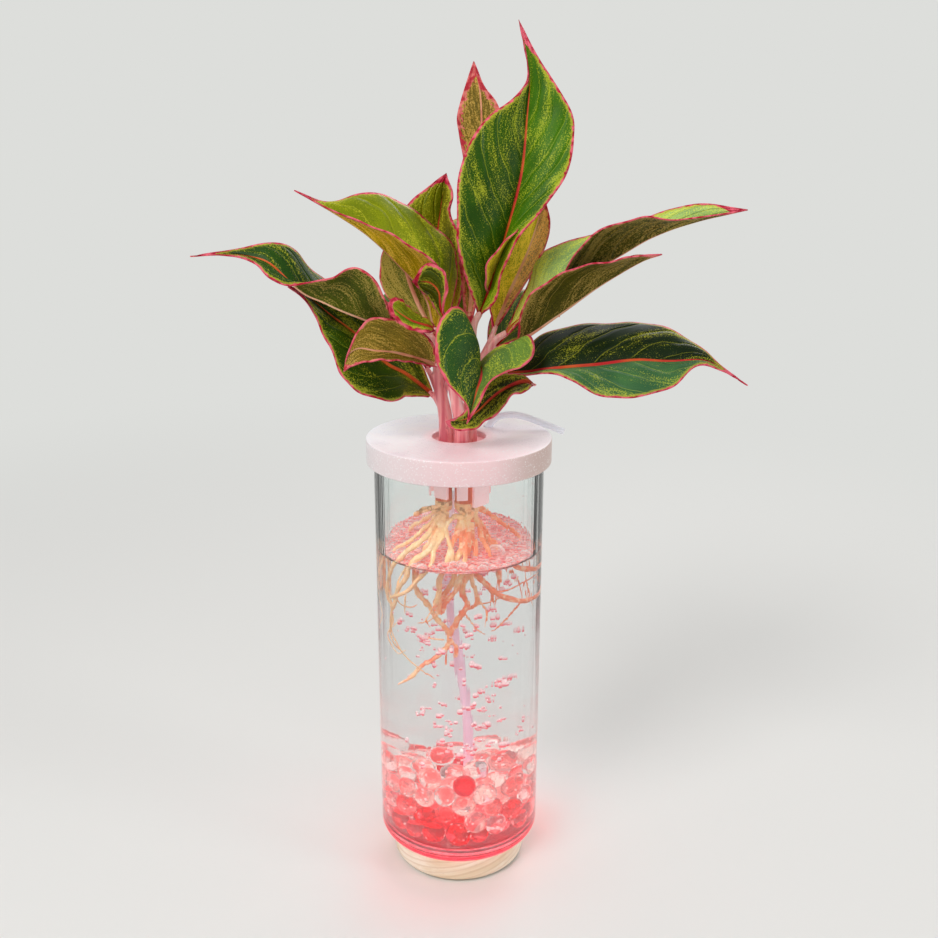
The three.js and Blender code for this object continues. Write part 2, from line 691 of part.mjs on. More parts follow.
function airTube() {
  const points = tubeInside.map(([x, y, share]) => new THREE.Vector3(x, y, tubeFoot + share * tubeRise));
  points.push(...tubeOutside.map(([x, y, z]) => new THREE.Vector3(x, y, lidTop + z)));
  const section = new THREE.Shape();
  section.absarc(0, 0, tubeRadius, 0, 2 * Math.PI);
  const route = new THREE.CatmullRomCurve3(points, false, 'catmullrom', 0.5);
  return solidOf(new THREE.ExtrudeGeometry(section, {
    steps: tubeSteps, extrudePath: route, curveSegments: tubeSides / 2, bevelEnabled: false,
  }));
}

function airStone() {
  const { x, y } = stoneAxis;
  return upright(stoneRadius, stoneBottom, stoneBottom + stoneLength, holeSides, x, y);
}

function nozzle() {
  const { x, y } = stoneAxis;
  return upright(nozzleRadius, nozzleBottom, nozzleBottom + nozzleHeight, holeSides, x, y);
}

// Plant

const atLid = ([x, y, z]) => new THREE.Vector3(x, y, lidTop + z);

// The point of a cane at a height above the lid.
function onCane(name, height) {
  const route = canes[name];
  for (let i = 1; i < route.length; i++) {
    const below = route[i - 1];
    const above = route[i];
    if (height <= above[2]) {
      const share = (height - below[2]) / (above[2] - below[2]);
      return atLid([mix(below[0], above[0], share), mix(below[1], above[1], share), height]);
    }
  }
  return atLid(route[route.length - 1]);
}

// A petiole, from inside its cane to just short of its blade.
function petiole(leaf) {
  const spine = leaf.spine.map(atLid);
  const along = spine[1].clone().sub(spine[0]).normalize();
  const end = spine[0].clone().addScaledVector(along, -looseGap);
  const start = onCane(leaf.cane, leaf.parts);
  const before = end.clone().addScaledVector(along, -petioleLead * end.distanceTo(start));
  const points = [start, ...leaf.bends.map(atLid), before, end];
  const radiusAt = (share) => mix(petioleRoot, petioleTip, share) * leaf.petiole;
  return taperedTube(points, radiusAt, petioleSteps, petioleSides);
}

// A cane keeps its thickness for half its length and thins above that. It carries its leaves' petioles.
function cane(name) {
  const radiusAt = (share) => mix(1, caneTip, Math.max(0, 2 * share - 1)) * caneRadius;
  const stem = taperedTube(canes[name].map(atLid), radiusAt, caneSteps, caneSides);
  const own = Object.values(leaves).filter((leaf) => leaf.cane === name);
  const foot = lidTop - crownDrop;
  return joined([stem, ...own.map(petiole)]).subtract(upright(lidInside, foot - 2 * caneRadius, foot));
}

// A value that eases from the first to the second to the third along a blade.
function eased(values, share) {
  const part = share < 0.5 ? 0 : 1;
  const t = 2 * share - part;
  const smooth = t * t * (3 - 2 * t);
  return values[part].map((value, i) => mix(value, values[part + 1][i], smooth));
}

// The half width of a blade as a share of its widest, with the widest place moved along by skew.
function outlineAt(along, skew) {
  const share = Math.max(0, along - skew * Math.sin(Math.PI * along));
  const next = Math.max(1, bladeOutline.findIndex(([at]) => at >= share));
  const [from, low] = bladeOutline[next - 1];
  const [to, high] = bladeOutline[next];
  return mix(low, high, (share - from) / (to - from));
}

// A blade as a thin closed solid: a grid over its upper side, one below it and a strip round the edge.
function blade(leaf) {
  const line = new THREE.CatmullRomCurve3(leaf.spine.map(atLid), false, 'catmullrom', 0.5);
  const upper = [];
  const lower = [];
  for (let i = 0; i <= bladeSteps; i++) {
    const share = i / bladeSteps;
    const centre = line.getPointAt(share);
    const along = line.getTangentAt(share);
    const up = new THREE.Vector3(...eased(leaf.face, share));
    up.addScaledVector(along, -up.dot(along)).normalize();
    const right = new THREE.Vector3().crossVectors(along, up);
    const open = eased(leaf.open, share);
    for (let j = -bladeRows; j <= bladeRows; j++) {
      const out = Math.abs(j) / bladeRows;
      const side = Math.sign(j);
      const half = side < 0 ? 0 : 1;
      const angle = degrees(open[half] + leaf.curl[half] * out);
      const reach = out * outlineAt(share, leaf.skew[half]) * leaf.half[half];
      const point = centre.clone().addScaledVector(right, side * reach * Math.cos(angle));
      point.addScaledVector(up, reach * Math.sin(angle));
      const normal = up.clone().multiplyScalar(j === 0 ? 1 : Math.cos(angle));
      normal.addScaledVector(right, -side * Math.sin(angle));
      upper.push(point.clone().addScaledVector(normal, bladeThickness / 2));
      lower.push(point.clone().addScaledVector(normal, -bladeThickness / 2));
    }
  }
  const row = 2 * bladeRows + 1;
  const count = upper.length;
  const index = [];
  for (let i = 0; i < bladeSteps; i++) {
    for (let j = 0; j < row - 1; j++) {
      const a = i * row + j;
      const b = a + 1;
      index.push(a, b, b + row, a, b + row, a + row);
      index.push(count + a, count + b + row, count + b, count + a, count + a + row, count + b + row);
    }
  }
  const edge = [];
  for (let j = 0; j < row - 1; j++) {
    edge.push(j);
  }
  for (let i = 0; i < bladeSteps; i++) {
    edge.push(i * row + row - 1);
  }
  for (let j = row - 1; j > 0; j--) {
    edge.push(bladeSteps * row + j);
  }
  for (let i = bladeSteps; i > 0; i--) {
    edge.push(i * row);
  }
  edge.forEach((a, i) => {
    const b = edge[(i + 1) % edge.length];
    index.push(a, count + b, b, a, count + a, count + b);
  });
  const positions = [...upper, ...lower].flatMap((point) => point.toArray());
  const geometry = new THREE.BufferGeometry();
  geometry.setAttribute('position', new THREE.Float32BufferAttribute(positions, 3));
  geometry.setIndex(index);
  return solidOf(geometry);
}

// A crown's knot with its roots, just below the end of its cane.
function rootBundle(name) {
  const [x, y] = canes[name][0];
  const top = lidTop - crownDrop - looseGap;
  const knot = new THREE.SphereGeometry(1, knotSides, knotRows);
  knot.rotateX(Math.PI / 2);
  knot.scale(knotRadius, knotRadius, knotHeight);
  knot.translate(x, y, top);
  const crown = solidOf(knot).subtract(upright(2 * knotRadius, top, top + 2 * knotHeight, pinSides, x, y));
  const start = new THREE.Vector3(x, y, top - knotHeight / 2);
  const own = roots[name].map(({ angle, spread, drop, radius, swing }) => {
    const rim = onRing(glassInside - radius - slidingGap, angle, 0);
    const points = [];
    for (let i = 0; i <= rootBends; i++) {
      const share = i / rootBends;
      const out = spread * Math.pow(share, 0.75);
      const aside = swing * Math.sin(2 * Math.PI * share) * (1 - share / 2);
      points.push(new THREE.Vector3(
        mix(start.x, rim.x, out) - aside * Math.sin(degrees(angle)),
        mix(start.y, rim.y, out) + aside * Math.cos(degrees(angle)),
        start.z - drop * Math.pow(share, 1.5)));
    }
    return taperedTube(points, (share) => radius * mix(rootStart, rootTip, share), rootSteps, rootSides);
  });
  return joined([crown, ...own]);
}

// The finish of each kind of piece
const finishes = {
  wood: { color: 0xd9b98c, roughness: 0.6, metalness: 0 },
  black_plastic: { color: 0x222222, roughness: 0.6, metalness: 0 },
  pad: { color: 0x303030, roughness: 0.9, metalness: 0 },
  diffuser: { color: 0xffb0b0, roughness: 0.4, metalness: 0 },
  board: { color: 0xf2f2ee, roughness: 0.5, metalness: 0 },
  led: { color: 0xfff0c0, roughness: 0.3, metalness: 0 },
  steel: { color: 0xb8bcc0, roughness: 0.35, metalness: 1 },
  glass: { color: 0xe8f4f4, roughness: 0.05, metalness: 0, transparent: true, opacity: 0.3 },
  gel: { color: 0xf08080, roughness: 0.1, metalness: 0 },
  lid: { color: 0xf0e8ee, roughness: 0.35, metalness: 0 },
  tube: { color: 0xe8ecf0, roughness: 0.3, metalness: 0 },
  stone: { color: 0x8a8f94, roughness: 0.95, metalness: 0 },
  cane: { color: 0xe88a80, roughness: 0.5, metalness: 0 },
  root: { color: 0xe0b080, roughness: 0.6, metalness: 0 },
  leaf: { color: 0x3c7030, roughness: 0.4, metalness: 0 },
};

// A named mesh of a solid, in a finish of its own.
function piece(name, solid, finish) {
  const mesh = new THREE.Mesh(geometryOf(solid), new THREE.MeshStandardMaterial(finishes[finish]));
  mesh.name = name;
  return mesh;
}

const base = new THREE.Group();
base.add(piece('wood_base', woodBase(), 'wood'));
base.add(piece('diffuser', diffuser(), 'diffuser'));
base.add(piece('light_board', lightBoard(), 'board'));
for (let i = 0; i < ledCount; i++) {
  base.add(piece(`led_${i + 1}`, led(i), 'led'));
}
base.add(piece('power_socket', powerSocket(), 'steel'));
base.add(piece('push_switch', pushSwitch(), 'black_plastic'));
base.add(piece('button', button(), 'black_plastic'));
base.add(piece('bottom_cover', bottomCover(), 'black_plastic'));
for (let i = 0; i < screwCount; i++) {
  base.add(piece(`cover_screw_${i + 1}`, screw(i), 'steel'));
}
base.add(piece('anti_slip_pad', antiSlipPad(), 'pad'));

const vase = new THREE.Group();
vase.add(piece('glass_vase', glassVase(), 'glass'));
vase.add(piece('gel_beads', gelBeads(), 'gel'));

const cap = new THREE.Group();
cap.add(piece('lid', lid(), 'lid'));
cap.add(piece('air_tube', airTube(), 'tube'));
cap.add(piece('air_stone', airStone(), 'stone'));
cap.add(piece('nozzle', nozzle(), 'tube'));

const plant = new THREE.Group();
for (const name of Object.keys(canes)) {
  plant.add(piece(`cane_${name}`, cane(name), 'cane'));
  plant.add(piece(`roots_${name}`, rootBundle(name), 'root'));
}
for (const [name, leaf] of Object.entries(leaves)) {
  plant.add(piece(`leaf_${name}`, blade(leaf), 'leaf'));
}

const hydroponicVase = new THREE.Group();
hydroponicVase.add(base, vase, cap, plant);

export default hydroponicVase;
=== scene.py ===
# A hydroponic vase: a clear glass cylinder of water and gel beads on a lit wooden base, with a printed lid,
# an air tube to an air stone, and a planted evergreen with green, lime and crimson leaves.
# Sizes are in millimetres until a piece is finished, +Z up, with the front at -Y.
import math
import random

import bmesh
import bpy
from mathutils import Matrix, Vector


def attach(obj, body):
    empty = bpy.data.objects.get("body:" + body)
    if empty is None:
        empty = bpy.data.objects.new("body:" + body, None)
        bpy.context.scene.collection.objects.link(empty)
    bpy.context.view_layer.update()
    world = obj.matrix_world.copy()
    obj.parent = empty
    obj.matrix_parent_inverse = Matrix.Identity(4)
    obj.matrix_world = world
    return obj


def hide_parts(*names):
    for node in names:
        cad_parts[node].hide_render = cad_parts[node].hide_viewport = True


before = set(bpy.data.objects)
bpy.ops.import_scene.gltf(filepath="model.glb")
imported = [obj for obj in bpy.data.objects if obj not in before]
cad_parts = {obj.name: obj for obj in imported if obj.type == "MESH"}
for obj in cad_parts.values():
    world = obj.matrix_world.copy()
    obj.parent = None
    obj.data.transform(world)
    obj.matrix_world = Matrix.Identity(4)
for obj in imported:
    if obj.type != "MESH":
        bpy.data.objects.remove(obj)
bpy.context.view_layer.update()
scene = bpy.context.scene
MM = 0.001


# Camera

CAMERA_PLACE = (0, -0.5804, 0.4284)
CAMERA_TILT = 72.7

camera_data = bpy.data.cameras.new("camera")
camera_data.sensor_width = 36
camera_data.lens = 41.17
camera_data.shift_x = 0.0107
camera = bpy.data.objects.new("camera", camera_data)
camera.location = CAMERA_PLACE
camera.rotation_euler = (math.radians(CAMERA_TILT), 0, 0)
scene.collection.objects.link(camera)
scene.camera = camera


# Lines and rings

def mix(a, b, share):
    return a + (b - a) * share


class Line:
    """A smooth line through points, read by its share of the length."""

    parts = 24

    def __init__(self, points):
        given = [Vector(point) for point in points]
        ends = [2 * given[0] - given[1], *given, 2 * given[-1] - given[-2]]
        self.dense = [given[0]]
        for before, start, end, after in zip(ends, ends[1:], ends[2:], ends[3:]):
            leave = (end - before) / 2
            arrive = (after - start) / 2
            for part in range(1, self.parts + 1):
                t = part / self.parts
                self.dense.append(
                    (2 * t**3 - 3 * t**2 + 1) * start + (t**3 - 2 * t**2 + t) * leave
                    + (3 * t**2 - 2 * t**3) * end + (t**3 - t**2) * arrive
                )
        self.reached = [0]
        for a, b in zip(self.dense, self.dense[1:]):
            self.reached.append(self.reached[-1] + (b - a).length)
        self.length = self.reached[-1]

    def point(self, share):
        wanted = min(max(share, 0), 1) * self.length
        low, high = 0, len(self.reached) - 1
        while high - low > 1:
            middle = (low + high) // 2
            low, high = (middle, high) if self.reached[middle] <= wanted else (low, middle)
        step = self.reached[high] - self.reached[low]
        return self.dense[low].lerp(self.dense[high], (wanted - self.reached[low]) / step if step else 0)

    def direction(self, share):
        small = 1e-3
        return (self.point(min(share + small, 1)) - self.point(max(share - small, 0))).normalized()

    def sampled(self, count):
        return [self.point(i / (count - 1)) for i in range(count)]


# Meshes

def mesh_from(shape, name):
    mesh = bpy.data.meshes.new(name)
    shape.to_mesh(mesh)
    shape.free()
    return mesh


def shape_from(mesh):
    shape = bmesh.new()
    shape.from_mesh(mesh)
    bpy.data.meshes.remove(mesh)
    return shape


def piece(name, body, shape, finishes, cad_nodes=(), sharp=35):
    """A finished piece in metres, with its finishes, the body that it rides on and what it stands for."""
    bmesh.ops.scale(shape, vec=(MM, MM, MM), verts=shape.verts)
    for face in shape.faces:
        face.smooth = True
    for edge in shape.edges:
        edge.smooth = len(edge.link_faces) != 2 or edge.calc_face_angle(0) < math.radians(sharp)
    mesh = mesh_from(shape, name)
    made = bpy.data.objects.new(name, mesh)
    for finish in finishes:
        mesh.materials.append(finish)
    scene.collection.objects.link(made)
    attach(made, body)
    if cad_nodes:
        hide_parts(*cad_nodes)
    return made


def fillets(corners, steps=5):
    """A profile with rounded corners, each given as its radius from the axis, its height and its fillet."""
    profile = []
    count = len(corners)
    for i, (r, z, size) in enumerate(corners):
        here = Vector((r, z))
        before = Vector(corners[i - 1][:2]) - here
        after = Vector(corners[(i + 1) % count][:2]) - here
        if not size:
            profile.append((r, z))
            continue
        half = before.angle(after) / 2
        run = size / math.tan(half)
        centre = here + (before.normalized() + after.normalized()).normalized() * size / math.sin(half)
        start = here + before.normalized() * run - centre
        end = here + after.normalized() * run - centre
        turn = start.angle_signed(end)
        for step in range(steps + 1):
            angle = -turn * step / steps
            cos, sin = math.cos(angle), math.sin(angle)
            aside = centre.x + start.x * cos - start.y * sin
            up = centre.y + start.x * sin + start.y * cos
            profile.append((aside, up))
    return profile


def turned(profile, sides, closed=True):
    """A body turned about the vertical axis."""
    shape = bmesh.new()
    rim = [shape.verts.new((r, 0, z)) for r, z in profile]
    for a, b in zip(rim, rim[1:] + rim[:1] if closed else rim[1:]):
        shape.edges.new((a, b))
    bmesh.ops.spin(
        shape, geom=shape.verts[:] + shape.edges[:], cent=(0, 0, 0), axis=(0, 0, 1),
        angle=2 * math.pi, steps=sides, use_merge=True,
    )
    bmesh.ops.remove_doubles(shape, verts=shape.verts, dist=1e-4)
    bmesh.ops.dissolve_degenerate(shape, edges=shape.edges, dist=1e-5)
    bmesh.ops.recalc_face_normals(shape, faces=shape.faces)
    return shape


def tube(points, radii, sides, caps=True):
    """A round tube along points, with a radius at each, as a mesh."""
    data = bpy.data.curves.new("tube", "CURVE")
    data.dimensions = "3D"
    data.bevel_depth = 1
    data.bevel_resolution = max(1, sides // 4 - 1)
    data.use_fill_caps = caps
    spline = data.splines.new("POLY")
    spline.points.add(len(points) - 1)
    for spot, point, radius in zip(spline.points, points, radii):
        spot.co = (*point, 1)
        spot.radius = radius
    curve = bpy.data.objects.new("tube", data)
    scene.collection.objects.link(curve)
    mesh = bpy.data.meshes.new_from_object(curve.evaluated_get(bpy.context.evaluated_depsgraph_get()))
    bpy.data.objects.remove(curve)
    bpy.data.curves.remove(data)
    return mesh


def gathered(meshes):
    """Several meshes in one."""
    shape = bmesh.new()
    for mesh in meshes:
        shape.from_mesh(mesh)
        bpy.data.meshes.remove(mesh)
    bmesh.ops.remove_doubles(shape, verts=shape.verts, dist=1e-5)
    bmesh.ops.recalc_face_normals(shape, faces=shape.faces)
    return shape


def modified(shape, *modifiers):
    """The shape after modifiers, each a type and its settings; empty slots keep a face's second finish."""
    mesh = mesh_from(shape, "shape")
    for _ in range(2):
        mesh.materials.append(None)
    holder = bpy.data.objects.new("shape", mesh)
    scene.collection.objects.link(holder)
    for kind, settings in modifiers:
        modifier = holder.modifiers.new(kind, kind)
        for key, value in settings.items():
            setattr(modifier, key, value)
    result = bpy.data.meshes.new_from_object(holder.evaluated_get(bpy.context.evaluated_depsgraph_get()))
    bpy.data.objects.remove(holder)
    bpy.data.meshes.remove(mesh)
    return shape_from(result)


def fused(meshes, grain, smoothing):
    """Several meshes grown together into one skin of about that grain."""
    skin = ("REMESH", {"mode": "VOXEL", "voxel_size": grain, "use_smooth_shade": True})
    soften = ("SMOOTH", {"factor": 0.5, "iterations": smoothing})
    return modified(gathered(meshes), skin, soften)


def rod(radius, start, end, sides=32):
    """A plain round bar between two points."""
    start, end = Vector(start), Vector(end)
    shape = bmesh.new()
    along = end - start
    place = Matrix.Translation((start + end) / 2) @ along.to_track_quat("Z", "Y").to_matrix().to_4x4()
    bmesh.ops.create_cone(
        shape, cap_ends=True, cap_tris=False, segments=sides, radius1=radius, radius2=radius,
        depth=along.length, matrix=place,
    )
    return shape


def ball(shape, centre, radius, detail, stretch=(1, 1, 1), **marks):
    """A ball added to a shape, with marks on its points; "level" is the height within the ball."""
    place = Matrix.Translation(centre) @ Matrix.Diagonal((*stretch, 1))
    layers = {key: shape.verts.layers.float.get(key) or shape.verts.layers.float.new(key) for key in marks}
    made = bmesh.ops.create_icosphere(shape, subdivisions=detail, radius=radius, matrix=place)
    for vert in made["verts"]:
        for key, value in marks.items():
            vert[layers[key]] = (vert.co.z - centre[2]) / radius if key == "level" else value


# Shader values and finishes

def tint(code):
    """A colour written as on screen, in linear light."""
    parts = [int(code[i:i + 2], 16) / 255 for i in (1, 3, 5)]
    linear = [part / 12.92 if part <= 0.04045 else ((part + 0.055) / 1.055) ** 2.4 for part in parts]
    return (*linear, 1)


class Value:
    """A shader socket whose arithmetic adds Math nodes."""

    def __init__(self, finish, socket):
        self.finish = finish
        self.socket = socket

    def maths(self, operation, *others):
        return self.finish.node("Math", dict(enumerate((self, *others))), operation=operation)

    def __add__(self, other):
        return self.maths("ADD", other)

    def __mul__(self, other):
        return self.maths("MULTIPLY", other)

    def __sub__(self, other):
        return self.maths("SUBTRACT", other)

    def __rsub__(self, other):
        return self.finish.node("Math", {0: other, 1: self}, operation="SUBTRACT")

    def __truediv__(self, other):
        return self.maths("DIVIDE", other)

    def __pow__(self, other):
        return self.maths("POWER", other)

    def __abs__(self):
        return self.maths("ABSOLUTE")

    __radd__ = __add__
    __rmul__ = __mul__

    def rise(self, low, high):
        """0 below low, 1 above high and smooth between; it falls where low is the higher one."""
        sockets = {"Value": self, "From Min": low, "From Max": high}
        return self.finish.node("MapRange", sockets, interpolation_type="SMOOTHSTEP")

    def most(self, other):
        return self.maths("MAXIMUM", other)


class Finish:
    """A material, or the world, written as expressions on its nodes."""

    def __init__(self, name, world=None):
        self.block = world or bpy.data.materials.new(name)
        self.block.use_nodes = True
        self.tree = self.block.node_tree
        self.tree.nodes.clear()
        if not world:
            self.mm = self.scaled(self.node("TexCoord", output="Object"), (1 / MM, 1 / MM, 1 / MM))

    def node(self, kind, sockets=None, output=0, **settings):
        """A node from its type, settings and sockets, where a text is a colour; the value is its output."""
        made = self.tree.nodes.new("ShaderNode" + kind)
        for key, value in settings.items():
            setattr(made, key, value)
        for key, value in (sockets or {}).items():
            if isinstance(value, Value):
                self.tree.links.new(value.socket, made.inputs[key])
            else:
                made.inputs[key].default_value = tint(value) if isinstance(value, str) else value
        return Value(self, made.outputs[output])

    def scaled(self, vector, by):
        return self.node("VectorMath", {0: vector, 1: by}, operation="MULTIPLY")

    def noise(self, scale, detail, vector=None, rough=0.5, warp=0):
        sockets = {"Vector": vector or self.mm, "Scale": scale, "Detail": detail, "Roughness": rough}
        return self.node("TexNoise", {**sockets, "Distortion": warp}, output="Fac")

    def cells(self, scale, vector=None, feature="F1", output="Distance"):
        sockets = {"Vector": vector or self.mm, "Scale": scale}
        return self.node("TexVoronoi", sockets, output=output, feature=feature)

    def axis(self, name):
        return self.node("SeparateXYZ", {0: self.mm}, output=name)

    def attribute(self, name):
        return self.node("Attribute", output="Fac", attribute_name=name)

    def vector(self, x, y, z):
        return self.node("CombineXYZ", {0: x, 1: y, 2: z})

    def mixed(self, a, b, share):
        return self.node("Mix", {0: share, 6: a, 7: b}, output=2, data_type="RGBA")

    def bump(self, height, distance, strength, normal=None):
        sockets = {"Height": height, "Distance": distance * MM, "Strength": strength}
        if normal:
            sockets["Normal"] = normal
        return self.node("Bump", sockets)

    def surface(self, **sockets):
        named = {key.replace("_", " "): value for key, value in sockets.items()}
        return self.node("BsdfPrincipled", named)

    def coated(self, **sockets):
        """The material of one surface."""
        return self.finish(self.surface(**sockets))

    def finish(self, shader, kind="Material"):
        end = self.tree.nodes.new("ShaderNodeOutput" + kind)
        self.tree.links.new(shader.socket, end.inputs["Surface"])
        return self.block

    def clear(self, shader, shade):
        """The shader for all but the lamps, which pass it with a slight shade."""
        lamps = self.node("LightPath", output="Is Shadow Ray")
        through = self.node("BsdfTransparent", {"Color": shade})
        return self.node("MixShader", {0: lamps, 1: shader, 2: through})


# Finishes

def veins(f, along, rib, edge):
    """The run of the side veins, which turn from the midrib towards the tip, and the distance to one."""
    across = rib / (rib + edge + 0.05)
    slant = along - 48 * across ** 1.15
    wander = f.noise(0.05, 2, f.vector(along, rib, f.attribute("seed")))
    return slant, f.node("Math", {0: slant + 12 * wander, 1: 9}, operation="PINGPONG")


def hemmed(f, color, edge, along, share, seed, dark, pale):
    """The colour with the leaf's crimson margin and tip."""
    fray = f.noise(0.4, 4, f.vector(along, edge, seed), 0.6).rise(0.32, 0.68)
    rosy = f.noise(0.25, 3, f.vector(along, edge, seed)).rise(0.38, 0.62)
    wide = f.attribute("hem") * (0.35 + 1.2 * fray) + 3.5 * share.rise(0.87, 1)
    return f.mixed(color, f.mixed(dark, pale, rosy), (edge - wide).rise(0.35, -0.1))


def leaf_upper():
    f = Finish("leaf_upper")
    names = ("edge", "rib", "along", "seed", "share", "dots", "hem")
    edge, rib, along, seed, share, dots, hem = [f.attribute(name) for name in names]
    body = f.node("Attribute", output="Color", attribute_name="upper")
    slant, apart = veins(f, along, rib, edge)
    place = f.vector(along, rib, seed)
    drift = f.noise(1, 4, f.vector(0.06 * slant, 0.07 * rib, seed), 0.6)
    crowd = drift + 0.09 * edge.rise(6, 0.5) + 0.02 * apart.rise(2.5, 0.3) + 0.16 * (dots - 0.5)
    specks = f.noise(1.25, 3, place, 0.75)
    fine = f.noise(2.4, 2, place, 0.6)
    pale = (specks + 0.75 * (crowd - 0.5)).rise(0.59, 0.62)
    pale = pale.most(0.7 * (fine + 0.5 * (crowd - 0.5)).rise(0.63, 0.68))
    broad = f.noise(0.035, 3, place).rise(0.36, 0.64)
    ground = f.mixed(f.scaled(body, (0.72, 0.76, 0.8)), f.scaled(body, (1.35, 1.25, 1)), broad)
    ground = f.mixed(ground, f.scaled(body, (3.4, 1.9, 1)), 0.75 * share.rise(0.34, 0.04))
    ground = f.mixed(ground, f.scaled(body, (1.7, 1.5, 1)), 0.2 * apart.rise(4, 0) * drift.rise(0.45, 0.6))
    speck = f.mixed(f.scaled(body, (3, 2.4, 1.4)), "#ccca38", 0.65)
    green = f.mixed(ground, speck, 0.78 * pale)
    green = f.mixed(green, f.scaled(body, (0.4, 0.45, 0.5)), 0.65 * fine.rise(0.44, 0.37))
    green = f.mixed(green, speck, 0.45 * apart.rise(0.4, 0.12) * rib.rise(0.8, 3))
    green = f.mixed(green, "#c2b83c", 0.55 * (edge - 2.2 * hem * f.noise(0.7, 4, place)).rise(1.3, 0.4))
    midrib = (rib - 1.65 * (1.08 - share)).rise(0.2, -0.15) * share.rise(0.92, 0.75)
    color = f.mixed(green, f.mixed("#c01a2c", "#d8622c", broad), 0.92 * midrib)
    color = hemmed(f, color, edge, along, share, seed, "#b61836", "#ee6a7c")
    height = f.bump(apart.rise(0, 3.5) + 0.12 * specks, 0.5, 0.8)
    return f.coated(
        Base_Color=color, Roughness=0.38 + 0.14 * f.noise(0.3, 3), Normal=height, Specular_IOR_Level=0.13,
    )


def leaf_under():
    f = Finish("leaf_under")
    names = ("edge", "rib", "along", "seed", "share", "dots")
    edge, rib, along, seed, share, dots = [f.attribute(name) for name in names]
    body = f.node("Attribute", output="Color", attribute_name="under")
    slant, apart = veins(f, along, rib, edge)
    place = f.vector(along, rib, seed)
    crowd = f.noise(1, 4, f.vector(0.1 * slant, 0.04 * rib, seed), 0.6) + 0.16 * (dots - 0.5)
    streaks = f.noise(1, 4, f.vector(0.3 * slant, 1.3 * (rib - 0.12 * along), seed), 0.7)
    flecks = f.noise(1.35, 3, place, 0.7)
    broad = f.noise(0.05, 2, place).rise(0.35, 0.65)
    ground = f.mixed(f.scaled(body, (0.8, 0.8, 0.7)), f.scaled(body, (1.35, 1.25, 1.1)), broad)
    light = f.mixed(f.scaled(body, (2.6, 2.3, 1.8)), "#deb468", 0.5)
    crowd = crowd + 0.1 * edge.rise(5, 0.5)
    pale = (flecks + 0.8 * (crowd - 0.5) + 0.5 * (streaks - 0.5)).rise(0.53, 0.59)
    ground = f.mixed(ground, light, 0.75 * pale)
    dark = (flecks + 0.3 * (crowd - 0.5) + 0.6 * (streaks - 0.5)).rise(0.45, 0.37)
    ground = f.mixed(ground, f.scaled(body, (0.34, 0.38, 0.4)), 0.7 * dark)
    ground = f.mixed(ground, light, 0.5 * apart.rise(0.5, 0.12) * rib.rise(0.8, 3))
    midrib = (rib - 1.3 * (1.08 - share)).rise(0.25, -0.2)
    color = f.mixed(ground, f.mixed("#dc8468", "#f2bb98", broad), midrib)
    color = hemmed(f, color, edge, along, share, seed, "#c23442", "#f08a80")
    height = f.bump(apart.rise(3, 0) + 0.2 * streaks, 0.4, 0.7)
    return f.coated(
        Base_Color=color, Roughness=0.5 + 0.12 * streaks, Normal=height, Specular_IOR_Level=0.13,
    )


def cane_skin():
    f = Finish("cane")
    high = f.axis("Z")
    grain = f.noise(1, 2, f.scaled(f.mm, (0.3, 0.3, 0.01)), 0.45)
    fine = f.noise(1, 3, f.scaled(f.mm, (0.9, 0.9, 0.02)), 0.5)
    fresh = f.mixed("#d4606e", "#f79c9e", grain.rise(0.36, 0.56))
    # painted light: the pale streaks are painted highlights and the dark ones after them painted shade
    # between the ridges
    fresh = f.mixed(fresh, "#fdc9c6", 0.6 * (grain + 0.25 * fine).rise(0.68, 0.78))
    fresh = f.mixed(fresh, "#9c2c48", 0.45 * fine.rise(0.4, 0.33))
    pale = f.mixed("#eda29e", "#f0cabc", fine.rise(0.42, 0.6))
    color = f.mixed(fresh, pale, 0.75 * high.rise(296, 322))
    wet = f.mixed("#e2683c", "#f8a070", grain.rise(0.4, 0.6))
    color = f.mixed(wet, color, high.rise(246, 262))
    height = f.bump(fine, 0.25, 0.4)
    return f.coated(
        Base_Color=color, Roughness=0.36 + 0.14 * fine, Normal=height, Subsurface_Weight=0.2,
        Subsurface_Radius=(0.004, 0.0015, 0.001), Subsurface_Scale=0.5, Coat_Weight=0.1,
    )


def root_skin():
    f = Finish("root")
    broad = f.noise(0.06, 2)
    grain = f.noise(0.8, 4, rough=0.6)
    warmth = (broad + 0.007 * f.axis("X") - 0.0016 * (f.axis("Z") - 200)).rise(0.38, 0.62)
    color = f.mixed("#f6c795", "#f88a60", warmth)
    color = f.mixed(color, "#ffe2bc", 0.6 * f.noise(0.3, 3).rise(0.5, 0.64))
    color = f.mixed(color, "#d97c48", 0.4 * grain.rise(0.54, 0.68))
    bark = f.axis("Z").rise(219, 228) * f.noise(0.22, 3).rise(0.5, 0.6)
    color = f.mixed(color, "#8a4a12", 0.7 * bark)
    height = f.bump(grain, 0.3, 0.7)
    # painted light: a faint glow in the root's own colour
    return f.coated(
        Base_Color=color, Roughness=0.4 + 0.2 * grain, Normal=height, Subsurface_Weight=0.2,
        Subsurface_Radius=(0.004, 0.002, 0.001), Subsurface_Scale=0.4,
        Emission_Color=color, Emission_Strength=0.1,
    )


